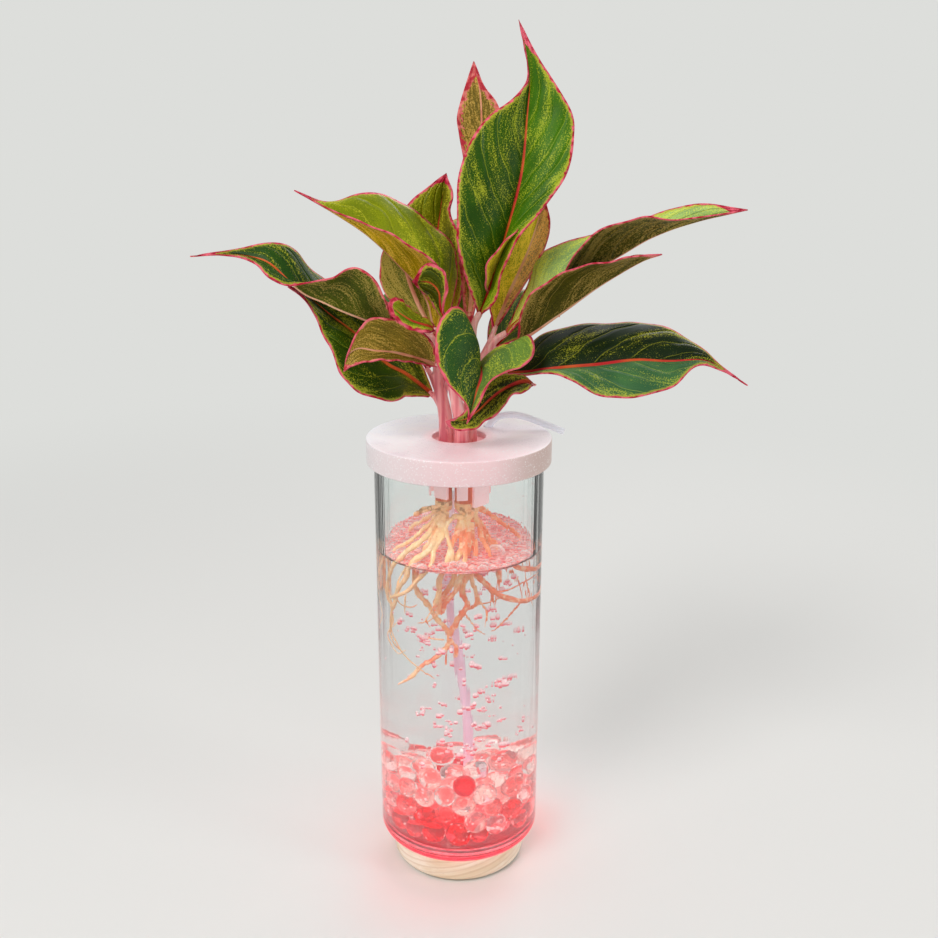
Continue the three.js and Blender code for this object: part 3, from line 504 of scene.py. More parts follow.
def lid_plastic():
    f = Finish("lid")
    high = f.axis("Z")
    turn = f.node("VectorRotate", {"Vector": f.mm, "Angle": math.radians(50)}, rotation_type="Z_AXIS")
    sockets = {"Vector": turn, "Scale": 0.13, "Distortion": 1.5, "Detail": 2}
    strokes = f.node("TexWave", sockets, output="Fac")
    worn = f.noise(0.05, 3).rise(0.5, 0.62) * f.axis("X").rise(6, -12) * high.rise(266.4, 267)
    layers = f.node("Math", {0: high, 1: 0.2}, operation="PINGPONG") * 5
    sparkle = f.node("SeparateColor", {0: f.cells(1.9, output="Color")}, output=0).rise(0.86, 0.97)
    cloud = f.noise(0.045, 3).rise(0.35, 0.65)
    pearly = f.mixed("#ece6ec", "#f8f4f7", cloud)
    pearly = f.mixed(pearly, "#eef1f8", 0.7 * (f.axis("Y") - f.axis("X")).rise(5, 60))
    front = f.axis("Y").rise(5, -46) * (0.4 + 0.6 * abs(f.axis("X") - 8).rise(46, 6))
    skirt = f.mixed("#dfdadb", "#f3d1d3", front)
    # painted shade: the skirt turns darker and browner towards the right side
    skirt = f.mixed(skirt, "#d0b4aa", 0.85 * f.axis("X").rise(14, 46))
    color = f.mixed(f.mixed(pearly, "#f8cfd2", 0.7 * front), skirt, high.rise(267.3, 266.8))
    round_hole = f.node("VectorMath", {0: f.scaled(f.mm, (1, 1, 0))}, output="Value", operation="LENGTH")
    color = f.mixed(color, "#f6c6ca", 0.6 * round_hole.rise(23, 15))
    color = f.mixed(color, "#fdf4f4", 0.5 * strokes.rise(0.6, 0.9) * worn)
    color = f.mixed(color, "#ffffff", 0.5 * sparkle)
    # painted light: under the lid, round the collar and its fingers, a paler pink that also glows pink
    under = high.rise(263.8, 262.8) * round_hole.rise(24, 20)
    color = f.mixed(color, "#fbd6d8", under)
    height = f.bump(layers, 0.05, 0.5)
    height = f.bump(strokes * worn, 0.14, 0.6, height)
    height = f.bump(f.noise(1.4, 2), 0.08, 0.6, height)
    rough = 0.42 - 0.2 * sparkle + 0.1 * cloud
    # painted light: the top of the lid glows faintly in its own colour
    glow = f.mixed("#000000", f.scaled(color, (0.4, 0.4, 0.42)), high.rise(266.8, 267.3))
    glow = f.mixed(glow, "#ffc8cc", under)
    return f.coated(
        Base_Color=color, Roughness=rough, Normal=height, Subsurface_Weight=0.25,
        Subsurface_Radius=(0.006, 0.005, 0.005), Subsurface_Scale=0.6, Coat_Weight=0.2, Coat_Roughness=0.3,
        Emission_Color=glow, Emission_Strength=0.22,
    )


def tube_silicone():
    f = Finish("tube")
    streak = f.noise(1, 3, f.scaled(f.mm, (0.8, 0.8, 0.05)))
    color = f.mixed("#e6edf4", "#faf8fc", streak)
    # painted light: pinker lower down for the pink light of the base, and a faint glow in its own colour
    color = f.mixed("#eed2e0", color, f.axis("Z").rise(150, 262))
    return f.finish(f.clear(f.surface(
        Base_Color=color, Roughness=0.16 + 0.1 * streak, Transmission_Weight=0.3, IOR=1.41,
        Emission_Color=color, Emission_Strength=0.1,
    ), "#d8d8dc"))


def clear_glass():
    """Drawn glass with faint upright streaks, whose thick floor is painted red and glowing for the light of
    the base.
    """
    f = Finish("glass")
    high = f.axis("Z")
    drawn = f.noise(1, 2, f.scaled(f.mm, (0.22, 0.22, 0.002)), 0.5)
    # painted light of the base: the floor glows red
    painted_base_glow = high.rise(28.5, 21) * (0.5 + 0.5 * f.noise(0.16, 3).rise(0.35, 0.65))
    # painted reflection: two dark bands round the heel, which darken the colour and dim the glow
    painted_dark_reflection = (high.rise(24.2, 24.6) * high.rise(25.4, 25)).most(high.rise(26.6, 27.2) * high.rise(29.2, 28.4))
    # painted light: the floor is tinted red for the light of the base
    color = f.mixed("#f6fbfa", "#ff4c60", high.rise(27.5, 23))
    color = f.mixed(color, "#2c1a20", 0.85 * painted_dark_reflection)
    shell = f.surface(
        Base_Color=color, Roughness=0, Transmission_Weight=1, IOR=1.5, Normal=f.bump(drawn, 0.4, 0.35),
        Emission_Color=f.mixed("#000000", "#ff2440", painted_base_glow * (1 - 0.8 * painted_dark_reflection)),
        Emission_Strength=0.5,
    )
    return f.finish(f.clear(shell, "#f0f4f4"))


def still_water():
    f = Finish("water")
    body = f.surface(Base_Color="#fdf6f8", Roughness=0, Transmission_Weight=1, IOR=1.333)
    return f.finish(f.clear(body, "#fbf6f8"))


def gel(name, pale, full, high_glow, low_glow):
    """Glittering jelly: each bead has its own depth of colour; a painted glow, stronger on the low ones,
    stands for the base's light.
    """
    f = Finish(name)
    color = f.mixed(pale, full, f.attribute("tone"))
    cloud = f.noise(0.1, 3).rise(0.36, 0.64)
    # painted light of the base: the glow is stronger on the low beads
    painted_glow = f.mixed(high_glow, low_glow, f.axis("Z").rise(60, 32))
    painted_glow = f.mixed("#000000", painted_glow, 0.06 + 0.14 * cloud)
    # painted glints: small bright spots
    painted_glint = f.node("SeparateColor", {0: f.cells(0.75, output="Color")}, output=0).rise(0.955, 0.975)
    painted_glow = f.mixed(painted_glow, "#fff2ee", painted_glint * f.noise(0.12, 3).rise(0.4, 0.56))
    # painted highlight: bright rims round each bead
    rim = f.node("LayerWeight", {"Blend": 0.5}, output="Facing")
    painted_glow = f.mixed(painted_glow, "#ffe4e0", 0.55 * rim.rise(0.84, 0.96))
    height = f.bump(f.noise(0.3, 2, warp=0.4), 1, 0.2)
    return f.finish(f.clear(f.surface(
        Base_Color=color, Roughness=0, Transmission_Weight=1, IOR=1.47, Normal=height,
        Emission_Color=painted_glow, Emission_Strength=0.42,
    ), pale))


def froth_film():
    f = Finish("froth")
    flat = f.scaled(f.mm, (1, 1, 0))
    swirl = f.noise(0.12, 5, flat, 0.65, 1.5)
    shift = f.vector(9 * swirl, 7 * f.noise(0.1, 3, flat), 0)
    warped = f.node("VectorMath", {0: flat, 1: shift}, operation="ADD")
    net = f.cells(0.34, warped, "DISTANCE_TO_EDGE")
    small = f.cells(0.85, warped, "DISTANCE_TO_EDGE")
    color = f.mixed("#ee3448", "#fa6c66", swirl.rise(0.36, 0.62))
    color = f.mixed(color, "#ffdcd6", 0.65 * net.rise(0.1, 0.03))
    color = f.mixed(color, "#ffc8c2", 0.55 * small.rise(0.09, 0.03))
    # painted shade: darker patches in the hollows of the froth
    hollow = f.noise(0.2, 4, flat, 0.6, 1).rise(0.57, 0.64)
    color = f.mixed(color, "#9a3440", 0.55 * hollow * net.rise(0.12, 0.3))
    height = f.bump(net.rise(0.3, 0) + 0.4 * small.rise(0.3, 0) + swirl, 0.8, 0.9)
    cover = 0.78 + 0.2 * swirl.rise(0.4, 0.6)
    # painted light: the film glows in its own colour
    return f.coated(
        Base_Color=color, Roughness=0.14, Normal=height, Coat_Weight=0.5, Alpha=cover,
        Emission_Color=color, Emission_Strength=0.3,
    )


def bubble_skin(name, top, below, clear_share, strength):
    """A thin skin round air, clear in its middle, painted coral low down and glowing, for the light from
    below.
    """
    f = Finish(name)
    rim = f.node("LayerWeight", {"Blend": 0.5}, output="Facing")
    color = f.mixed(below, top, f.attribute("level").rise(-0.5, 0.6))
    skin = clear_share + (1 - clear_share) * rim ** 1.3
    return f.coated(
        Base_Color=color, Roughness=0.06, Coat_Weight=0.6, Alpha=skin,
        Emission_Color=color, Emission_Strength=strength,
    )


def pale_wood():
    f = Finish("wood")
    lean = f.node("VectorRotate", {"Vector": f.mm, "Angle": math.radians(14)}, rotation_type="Y_AXIS")
    grain = f.noise(1, 4, f.scaled(lean, (0.015, 0.09, 0.16)), 0.55, 0.5)
    pores = f.noise(1, 4, f.scaled(lean, (0.06, 1.1, 1.5)), 0.6)
    rings = f.node("TexWave", {
        "Vector": f.scaled(lean, (0.004, 0.02, 0.05)), "Scale": 1.8, "Distortion": 4,
        "Detail": 3, "Detail Scale": 0.7,
    }, output="Fac", wave_type="BANDS", bands_direction="Z")
    color = f.mixed("#fbf0dc", "#ecd8b8", grain.rise(0.35, 0.68))
    color = f.mixed(color, "#d2b48c", 0.36 * rings.rise(0.6, 0.95))
    color = f.mixed(color, "#b3946c", 0.3 * pores.rise(0.6, 0.72))
    height = f.bump(pores, 0.1, 0.5)
    rough = 0.48 + 0.16 * pores
    return f.coated(Base_Color=color, Roughness=rough, Normal=height, Coat_Weight=0.06)


def plastic(name, code, roughness, grain, depth):
    f = Finish(name)
    texture = f.noise(grain, 3, rough=0.6)
    color = f.mixed(code, "#ffffff", 0.05 * texture)
    height = f.bump(texture, depth, 0.6)
    return f.coated(Base_Color=color, Roughness=roughness - 0.05 + 0.12 * texture, Normal=height)


def plated_metal():
    f = Finish("plated_metal")
    brushed = f.noise(1, 3, f.scaled(f.mm, (6, 0.4, 6)))
    color = f.mixed("#9a9da0", "#c8cacc", brushed)
    return f.coated(Base_Color=color, Roughness=0.22 + 0.14 * brushed, Metallic=1.0)


def sintered_stone():
    f = Finish("air_stone")
    grit = f.cells(0.9)
    fine = f.noise(1.8, 4, rough=0.7)
    color = f.mixed("#5f6468", "#a2a7aa", (grit + fine).rise(0.5, 1.3))
    height = f.bump(grit + 0.4 * fine, 0.6, 1)
    return f.coated(Base_Color=color, Roughness=0.85 + 0.1 * fine, Normal=height)


def lit_diffuser():
    f = Finish("diffuser")
    spots = f.cells(0.055, f.scaled(f.mm, (1, 1, 0)))
    glow = f.mixed("#ff5a66", "#ff9a92", spots.rise(0.2, 0.75))
    return f.coated(
        Base_Color="#f7b9b4", Roughness=0.5, Emission_Color=glow, Emission_Strength=0.9,
    )


LEAF_UPPER = leaf_upper()
LEAF_UNDER = leaf_under()
CANE = cane_skin()
ROOT = root_skin()
LID = lid_plastic()
TUBE = tube_silicone()
GLASS = clear_glass()
WATER = still_water()
CLEAR_GEL = gel("clear_gel", "#ffffff", "#fff2ee", "#ffc4bc", "#ff707c")
CORAL_GEL = gel("coral_gel", "#ffdad8", "#ff969a", "#ff8c80", "#ff3c5c")
RED_GEL = gel("red_gel", "#ff6c78", "#f01c3c", "#ff4a58", "#ff1038")
FROTH = froth_film()
BUBBLE = bubble_skin("rising_bubble", "#fbe9ea", "#f04a66", 0.55, 0.16)
FOAM = bubble_skin("foam_bubble", "#fff4f0", "#e0606c", 0.08, 0.1)
WOOD = pale_wood()
BLACK = plastic("black_plastic", "#1b1b1d", 0.5, 1.3, 0.08)
BOARD = plastic("light_board", "#eeeeea", 0.4, 0.6, 0.03)
LIGHT = plastic("led", "#ffe9b4", 0.3, 0.8, 0.03)
NOZZLE = plastic("nozzle", "#cfd8dc", 0.3, 0.8, 0.03)
RUBBER = plastic("pad_rubber", "#1f1f20", 0.85, 2.2, 0.25)
METAL = plated_metal()
STONE = sintered_stone()
DIFFUSER = lit_diffuser()


# Air tube: from the nozzle up beside the roots, through the lid and over its rim to a bare cut end

LID_TOP = 267.4
STONE_PLACE = (4, 5)
TUBE_HOLE = (17, 20)
TUBE_FOOT = 61.6
TUBE_RADIUS = 2
TUBE_WALL = 0.8
TUBE_STEPS = 150
# Places in the vase with their share of the way up, then places above the lid with their height over it
tube_inside = (
    (*STONE_PLACE, 0), (*STONE_PLACE, 0.04), (*STONE_PLACE, 0.09), (3.2, 5.4, 0.16), (2, 6.2, 0.24),
    (0.2, 7.4, 0.33), (-2, 9, 0.42), (-4, 10.8, 0.51), (-5.4, 12.8, 0.6), (-5.6, 15.2, 0.68),
    (-3.6, 17.8, 0.75), (0.6, 20, 0.81), (6, 21, 0.87), (11, 21, 0.92), (15, 20.5, 0.965),
)
tube_outside = (
    (*TUBE_HOLE, -1), (18.6, 19.8, 2.2), (22, 19.5, 5.4), (27, 18.8, 7), (33, 17.8, 7.2), (39.5, 16.2, 6),
    (46, 14.4, 4), (53, 12.6, 1.6), (60, 10.8, -0.8),
)
tube_line = Line(
    [(x, y, TUBE_FOOT + share * (LID_TOP - TUBE_FOOT)) for x, y, share in tube_inside]
    + [(x, y, LID_TOP + z) for x, y, z in tube_outside]
)
tube_wall = tube(tube_line.sampled(TUBE_STEPS), [TUBE_RADIUS] * TUBE_STEPS, 16, caps=False)
tube_shape = gathered([tube_wall])
tube_shape = modified(tube_shape, ("SOLIDIFY", {"thickness": TUBE_WALL, "offset": -1}))
air_tube = piece("air_tube_silicone", "lid", tube_shape, [TUBE], ["air_tube"])
tube_path = [point * MM for point in tube_line.sampled(40)]


# Base

def drilled(shape, operation, *tools):
    """The shape joined with, or less, each of the tools."""
    for tool in tools:
        bmesh.ops.recalc_face_normals(tool, faces=tool.faces)
        mesh = mesh_from(tool, "tool")
        cutter = bpy.data.objects.new("tool", mesh)
        scene.collection.objects.link(cutter)
        shape = modified(shape, ("BOOLEAN", {"operation": operation, "solver": "EXACT", "object": cutter}))
        bpy.data.objects.remove(cutter)
        bpy.data.meshes.remove(mesh)
    return shape


def box(low, high):
    shape = bmesh.new()
    size = Vector(high) - Vector(low)
    middle = (Vector(high) + Vector(low)) / 2
    bmesh.ops.create_cube(shape, size=1, matrix=Matrix.Translation(middle) @ Matrix.Diagonal((*size, 1)))
    return shape


def on_ring(radius, angle, z=0):
    return Vector((radius * math.cos(math.radians(angle)), radius * math.sin(math.radians(angle)), z))


BUTTON_ANGLE = 125
BUTTON_LEVEL = 7.3
SOCKET_LEVEL = 8.1
SCREW_RING = 31.9
SCREWS = [on_ring(SCREW_RING, 45 + 90 * i) for i in range(4)]
SHANK_RADIUS = 1.3
WOOD_RADIUS = 40
WOOD_FOOT = 1
WOOD_TOP = 18
WELL_RADIUS = 29
LEDGE_RADIUS = 25
LEDGE_FOOT = 12
LEDGE_TOP = 15.2
COVER_WELL = 35
COVER_CEILING = 3.6
BORE_RADIUS = 2.7
BUTTON_RADIUS = 2.4
BUTTON_REACH = (28.2, 41.4)

wood_profile = fillets([
    (COVER_WELL, WOOD_FOOT, 0.4), (WOOD_RADIUS, WOOD_FOOT, 3), (WOOD_RADIUS, WOOD_TOP, 1.2),
    (WELL_RADIUS, WOOD_TOP, 0.4), (WELL_RADIUS, LEDGE_TOP, 0), (LEDGE_RADIUS, LEDGE_TOP, 0),
    (LEDGE_RADIUS, LEDGE_FOOT, 0), (WELL_RADIUS, LEDGE_FOOT, 0), (WELL_RADIUS, COVER_CEILING, 0),
    (COVER_WELL, COVER_CEILING, 0),
])
slot_cut = box((-4.8, 26, SOCKET_LEVEL - 2), (4.8, 42, SOCKET_LEVEL + 2))
slot_edges = [e for e in slot_cut.edges if abs((e.verts[0].co - e.verts[1].co).y) > 1]
bmesh.ops.bevel(slot_cut, geom=slot_edges, offset=1.6, segments=5, profile=0.5, affect="EDGES", material=-1)
bore_ends = [on_ring(out, BUTTON_ANGLE, BUTTON_LEVEL) for out in (27, 42)]
button_cut = rod(BORE_RADIUS, *bore_ends, 40)


def screw_holes(radius, low, high, sides):
    """A hole for each screw, between two heights."""
    return [rod(radius, spot + Vector((0, 0, low)), spot + Vector((0, 0, high)), sides) for spot in SCREWS]


screw_cuts = screw_holes(SHANK_RADIUS, 3, 9.8, 16)
wood_shape = drilled(turned(wood_profile, 160), "DIFFERENCE", slot_cut, button_cut, *screw_cuts)
piece("wooden_base", "base", wood_shape, [WOOD], ["wood_base"])

diffuser_profile = fillets([(0, 15.5, 0), (28.7, 15.5, 0.4), (28.7, 17.7, 0.4), (0, 17.7, 0)])
diffuser_shape = turned(diffuser_profile, 96, closed=False)
piece("light_diffuser", "base", diffuser_shape, [DIFFUSER], ["diffuser"])

cover_profile = fillets([(0, 1.3, 0), (34.7, 1.3, 0.5), (34.7, 3.3, 0.3), (0, 3.3, 0)])
head_cuts = screw_holes(2.4, 0, 2.6, 32)
shank_cuts = screw_holes(SHANK_RADIUS, 0, 5, 24)
cover_shape = drilled(turned(cover_profile, 128, closed=False), "DIFFERENCE", *head_cuts, *shank_cuts)
piece("bottom_cover_plate", "base", cover_shape, [BLACK], ["bottom_cover"])

for number, place in enumerate(SCREWS):
    screw_shape = turned(fillets([
        (0, 1.3, 0), (2.1, 1.3, 0.35), (2.1, 2.3, 0), (1, 2.3, 0), (1, 9.1, 0.3), (0, 9.3, 0),
    ]), 32, closed=False)
    bmesh.ops.translate(screw_shape, vec=place, verts=screw_shape.verts)
    cross = []
    for half in ((1.25, 0.24), (0.24, 1.25)):
        low = place + Vector((-half[0], -half[1], 0.8))
        cross.append(box(low, place + Vector((half[0], half[1], 1.9))))
    screw_shape = drilled(screw_shape, "DIFFERENCE", *cross)
    name = f"cover_screw_{number + 1}"
    piece(name + "_cross", "base", screw_shape, [METAL], [name])

pad_shape = turned(fillets([(0, 0, 0), (28, 0, 0.35), (28, 1, 0.2), (0, 1, 0)]), 96, closed=False)
piece("pad", "base", pad_shape, [RUBBER], ["anti_slip_pad"])

hidden_end, pressed_end = BUTTON_REACH
button_profile = fillets([
    (0, hidden_end, 0), (BUTTON_RADIUS, hidden_end, 0),
    (BUTTON_RADIUS, pressed_end, 0.6), (0, pressed_end, 0),
])
button_shape = turned(button_profile, 40, closed=False)
turn = Matrix.Rotation(math.radians(BUTTON_ANGLE), 4, "Z") @ Matrix.Rotation(math.radians(90), 4, "Y")
place = Matrix.Translation((0, 0, BUTTON_LEVEL)) @ turn
bmesh.ops.transform(button_shape, matrix=place, verts=button_shape.verts)
piece("button_cap", "button", button_shape, [BLACK], ["button"])

carried = {"light_board": BOARD, "power_socket": METAL, "push_switch": BLACK, "air_stone": STONE}
for number in range(6):
    carried[f"led_{number + 1}"] = LIGHT
for name, finish in carried.items():
    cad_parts[name].material_slots[0].material = finish


# Vase, water and what is in it

GLASS_RADIUS = 48
GLASS_INSIDE = 44.5
GLASS_FOOT = 18.3
GLASS_FLOOR = 27
GLASS_RIM = 264
WATER_LEVEL = 202

glass_profile = fillets([
    (0, GLASS_FOOT, 0), (GLASS_RADIUS, GLASS_FOOT, 6), (GLASS_RADIUS, GLASS_RIM, 1),
    (GLASS_INSIDE, GLASS_RIM, 1), (GLASS_INSIDE, GLASS_FLOOR, 3), (0, GLASS_FLOOR, 0),
], steps=8)
glass_shape = turned(glass_profile, 192, closed=False)
piece("glass_cylinder", "vase", glass_shape, [GLASS], ["glass_vase"], sharp=60)

overlap = 0.06
reach = GLASS_INSIDE + overlap
depth = GLASS_FLOOR - overlap
climb = WATER_LEVEL + 1.4
water_profile = fillets([(0, depth, 0), (reach, depth, 3), (reach, climb, 0)], steps=8)[:-1]
water_profile += [(reach, climb), (44, WATER_LEVEL + 0.6), (43, WATER_LEVEL + 0.15)]
water_profile += [(41 - 3 * i, WATER_LEVEL) for i in range(13)] + [(0, WATER_LEVEL)]
water_shape = turned(water_profile, 144, closed=False)


def ripple(x, y):
    """The height of the ripples on the water, in millimetres."""
    out = math.hypot(x, y)
    calm = min(1, max(0, (43 - out) / 8))
    waves = 0.35 * math.sin(0.42 * out + 0.6 * math.sin(3 * math.atan2(y, x)))
    waves += 0.22 * math.sin(0.31 * x + 0.5) * math.sin(0.27 * y + 1.1)
    return calm * waves


for vert in water_shape.verts:
    if vert.co.z > WATER_LEVEL - 0.5:
        vert.co.z += ripple(vert.co.x, vert.co.y)
piece("water", "vase", water_shape, [WATER], sharp=60)


BEADS = 146
BEAD_SIZES = (5.5, 7.1)
SETTLING_ROUNDS = 110
SINK = 0.14
SQUEEZE = 0.95
STONE_FOOT = 41.5
STONE_TOP = 64
STONE_CLEAR = 4.9
TUBE_CLEAR = 2.6


def packed_beads(count, seed):
    """Soft beads settled between the glass, its floor, the air stone and each other."""
    draw = random.Random(seed)
    beads = []
    for i in range(count):
        radius = draw.uniform(*BEAD_SIZES)
        out = (GLASS_INSIDE - radius - 0.4) * math.sqrt(draw.random())
        beads.append([on_ring(out, draw.uniform(0, 360), 34 + 34 * i / count), radius])
    for _ in range(SETTLING_ROUNDS):
        for bead in beads:
            bead[0].z -= SINK
        for i, (a, ra) in enumerate(beads):
            for b, rb in beads[i + 1:]:
                apart = b - a
                need = SQUEEZE * (ra + rb)
                if apart.length_squared < need * need:
                    gap = apart.length or 1e-3
                    push = apart * ((need - gap) / gap / 2)
                    a -= push
                    b += push
        for spot, radius in beads:
            low = GLASS_FLOOR + 0.3 + radius
            spot.z = max(spot.z, low)
            out = math.hypot(spot.x, spot.y)
            limit = GLASS_INSIDE - radius - 0.2 - 1.2 * max(0, 1 - (spot.z - low) / 4)
            if out > limit:
                spot.x *= limit / out
                spot.y *= limit / out
            aside = Vector((spot.x - STONE_PLACE[0], spot.y - STONE_PLACE[1], 0))
            clear = radius + (STONE_CLEAR if spot.z < STONE_TOP else TUBE_CLEAR)
            if aside.length < clear and spot.z + radius > STONE_FOOT:
                spot += aside.normalized() * (clear - aside.length)
    return beads


bead_shapes = {"clear": bmesh.new(), "coral": bmesh.new(), "red": bmesh.new()}
bead_draw = random.Random(7)
for spot, radius in packed_beads(BEADS, 21):
    low = max(0, 1 - (spot.z - 30) / 26)
    front = max(0, 1 - (spot - Vector((0, -28, spot.z))).length / 34)
    chance = bead_draw.random()
    kind = "coral" if chance < 0.2 + 0.35 * low else "clear"
    if chance < 0.02 + 0.7 * low * front:
        kind = "red"
    stretch = [bead_draw.uniform(0.92, 1.06) for _ in range(3)]
    ball(bead_shapes[kind], spot, radius, 3, stretch, tone=bead_draw.random())
bead_finishes = {"clear": CLEAR_GEL, "coral": CORAL_GEL, "red": RED_GEL}
for kind, shape in bead_shapes.items():
    stands_for = ["gel_beads"] if kind == "coral" else []
    piece(f"{kind}_beads", "vase", shape, [bead_finishes[kind]], stands_for, sharp=180)


def froth_shape():
    profile = [(1.5 * i, WATER_LEVEL + 0.5) for i in range(29)]
    profile += [(43.3, WATER_LEVEL + 0.9), (44.2, WATER_LEVEL + 1.7)]
    shape = turned(profile, 144, closed=False)
    for vert in shape.verts:
        x, y = vert.co.x, vert.co.y
        vert.co.z += ripple(x, y) + 0.25 * math.sin(0.9 * x + 1.3 * math.sin(0.6 * y)) * math.sin(0.8 * y)
    return shape


piece("froth_film", "vase", froth_shape(), [FROTH], sharp=180)

FOAM_TRIES = 800
FOAM_REACH = 43.6
LARGE_BUBBLE = (Vector((21, -16)), 5.6)
foam_draw = random.Random(3)
foam_shape = bmesh.new()
taken = [LARGE_BUBBLE]
for _ in range(FOAM_TRIES):
    at_wall = foam_draw.random() < 0.62
    radius = foam_draw.uniform(0.7, 1.7) if foam_draw.random() < 0.8 else foam_draw.uniform(1.7, 3.2)
    inward = foam_draw.random()
    out = FOAM_REACH - radius - inward ** 2 * 6 if at_wall else 42 * math.sqrt(inward)
    spot = on_ring(out, foam_draw.uniform(0, 360)).to_2d()
    if all((spot - other).length > 0.85 * (radius + size) for other, size in taken):
        taken.append((spot, radius))
for spot, radius in taken:
    z = WATER_LEVEL + 0.5 + ripple(*spot)
    detail = 4 if radius > 5 else 3 if radius > 1.9 else 2
    ball(foam_shape, (*spot, z), radius, detail, (1, 1, 0.8), level=0)
piece("foam_bubbles", "vase", foam_shape, [FOAM], sharp=180)

CLUSTERS = 150
CLUSTER_HEIGHTS = (70, 196)
CLUSTER_SPREADS = (15, 22)
CLUSTER_LIMIT = 37
WALL_BUBBLES = 70
rise_draw = random.Random(11)
rising_shape = bmesh.new()
for _ in range(CLUSTERS):
    share = rise_draw.random()
    z = mix(*CLUSTER_HEIGHTS, share)
    spread = mix(*CLUSTER_SPREADS, share ** 0.6)
    spot = Vector((rise_draw.gauss(3, spread * 0.62), rise_draw.gauss(-4, spread * 0.7), z))
    if spot.to_2d().length > CLUSTER_LIMIT:
        continue
    size = rise_draw.uniform(1, 2.2)
    for _ in range(rise_draw.choice((1, 2, 3, 4))):
        drift = Vector([rise_draw.uniform(-far, far) for far in (1.7, 1.5, 1.3)])
        stretch = (rise_draw.uniform(0.7, 1), 1, rise_draw.uniform(0.85, 1.15))
        ball(rising_shape, spot + drift, size * rise_draw.uniform(0.55, 1), 2, stretch, level=0)
for _ in range(WALL_BUBBLES):
    angle = rise_draw.choice((rise_draw.uniform(150, 235), rise_draw.uniform(300, 395)))
    spot = on_ring(GLASS_INSIDE - 0.5, angle, rise_draw.uniform(60, 238))
    ball(rising_shape, spot, rise_draw.uniform(0.25, 0.7), 1, level=0)
piece("rising_bubbles", "vase", rising_shape, [BUBBLE], sharp=180)


# Lid

LID_UNDER = 264.3
LID_RADIUS = 52.1
LID_INSIDE = 48.5
SKIRT_FOOT = 253.5
PLANT_HOLE = 15
COLLAR_INSIDE = 16
COLLAR_OUTSIDE = 18.2
COLLAR_FOOT = 257.3
COLLAR_TOP = 265.3
TUBE_HOLE_RADIUS = 3
FINGER_INSIDE = 16.02
FINGER_OUTSIDE = 18.18
FINGER_TOP = 262
# Each hanging finger: its angle, its span in degrees and its drop below the lid
FINGERS = (
    (188, 16, 33), (234, 30, 31), (277, 21, 31), (320, 46, 36), (8, 22, 33), (52, 30, 35), (100, 26, 33),
    (144, 22, 35),
)


def ring_slice(inner, outer, low, high, angle, span, edge):
    """A slice of a round wall, with its edges rounded."""
    shape = bmesh.new()
    corners = [shape.verts.new(spot) for spot in (
        on_ring(inner, angle - span / 2, low), on_ring(outer, angle - span / 2, low),
        on_ring(outer, angle - span / 2, high), on_ring(inner, angle - span / 2, high),
    )]
    face = shape.faces.new(corners)
    bmesh.ops.spin(
        shape, geom=[face, *face.edges, *face.verts], cent=(0, 0, 0), axis=(0, 0, 1),
        angle=math.radians(span), steps=max(3, span // 4),
    )
    bmesh.ops.recalc_face_normals(shape, faces=shape.faces)
    edges = [e for e in shape.edges if len(e.link_faces) == 2 and e.calc_face_angle(0) > 0.8]
    bmesh.ops.bevel(shape, geom=edges, offset=edge, segments=2, profile=0.5, affect="EDGES", material=-1)
    return shape


lid_shape = turned(fillets([
    (PLANT_HOLE, LID_UNDER, 0.4), (LID_INSIDE, LID_UNDER, 0.5), (LID_INSIDE, SKIRT_FOOT, 0.4),
    (LID_RADIUS, SKIRT_FOOT, 0.7), (LID_RADIUS, LID_TOP, 0.9), (PLANT_HOLE, LID_TOP, 0.9),
]), 192)
tube_cut = rod(TUBE_HOLE_RADIUS, (*TUBE_HOLE, 260), (*TUBE_HOLE, 270), 48)
lid_shape = drilled(lid_shape, "DIFFERENCE", tube_cut)
collar = turned(fillets([
    (COLLAR_INSIDE, COLLAR_FOOT, 0.4), (COLLAR_OUTSIDE, COLLAR_FOOT, 0.4),
    (COLLAR_OUTSIDE, COLLAR_TOP, 0), (COLLAR_INSIDE, COLLAR_TOP, 0),
]), 96)
lid_shape = drilled(lid_shape, "UNION", collar)
for angle, span, drop in FINGERS:
    finger = ring_slice(FINGER_INSIDE, FINGER_OUTSIDE, LID_UNDER - drop, FINGER_TOP, angle, span, 0.45)
    lid_shape = drilled(lid_shape, "UNION", finger)
piece("printed_lid", "lid", lid_shape, [LID], ["lid"])

nozzle_shape = turned(fillets([
    (0, 57.3, 0), (2.6, 57.3, 0.3), (2.6, 58.8, 0.2), (1.7, 59.2, 0), (2.4, 59.9, 0), (1.7, 60.3, 0),
    (2.2, 61.3, 0.2), (0, 61.3, 0),
]), 40, closed=False)
bmesh.ops.translate(nozzle_shape, vec=(*STONE_PLACE, 0), verts=nozzle_shape.verts)
piece("barbed_nozzle", "lid", nozzle_shape, [NOZZLE], ["nozzle"])


# Canes with their petioles

CROWN_DROP = 37
CANE_RADIUS = 5.2
CANE_TAPER = 0.66
CANE_STEPS = 30
RIDGES = 5
RIDGE_GIRTH = 2.35
PETIOLE_STEPS = 22
PETIOLE_LEAVE = 16
CANES = {
    "left": (
        (-8.2, -6.5, -38), (-8, -5, -22), (-7.2, -2.2, -4), (-7.4, 0, 9), (-9.6, 0.4, 22), (-13, 0, 36),
    ),
    "middle": (
        (3, -10, -38), (2.6, -9.6, -22), (1.8, -8.8, -4), (1, -8.4, 9), (-1, -8.4, 20), (-3.6, -9, 31),
    ),
    "right": ((6.5, 8.2, -38), (6.2, 7, -22), (5.8, 4.8, -4), (5.8, 4, 9), (6.6, 4, 24), (8.2, 3.6, 40)),
}

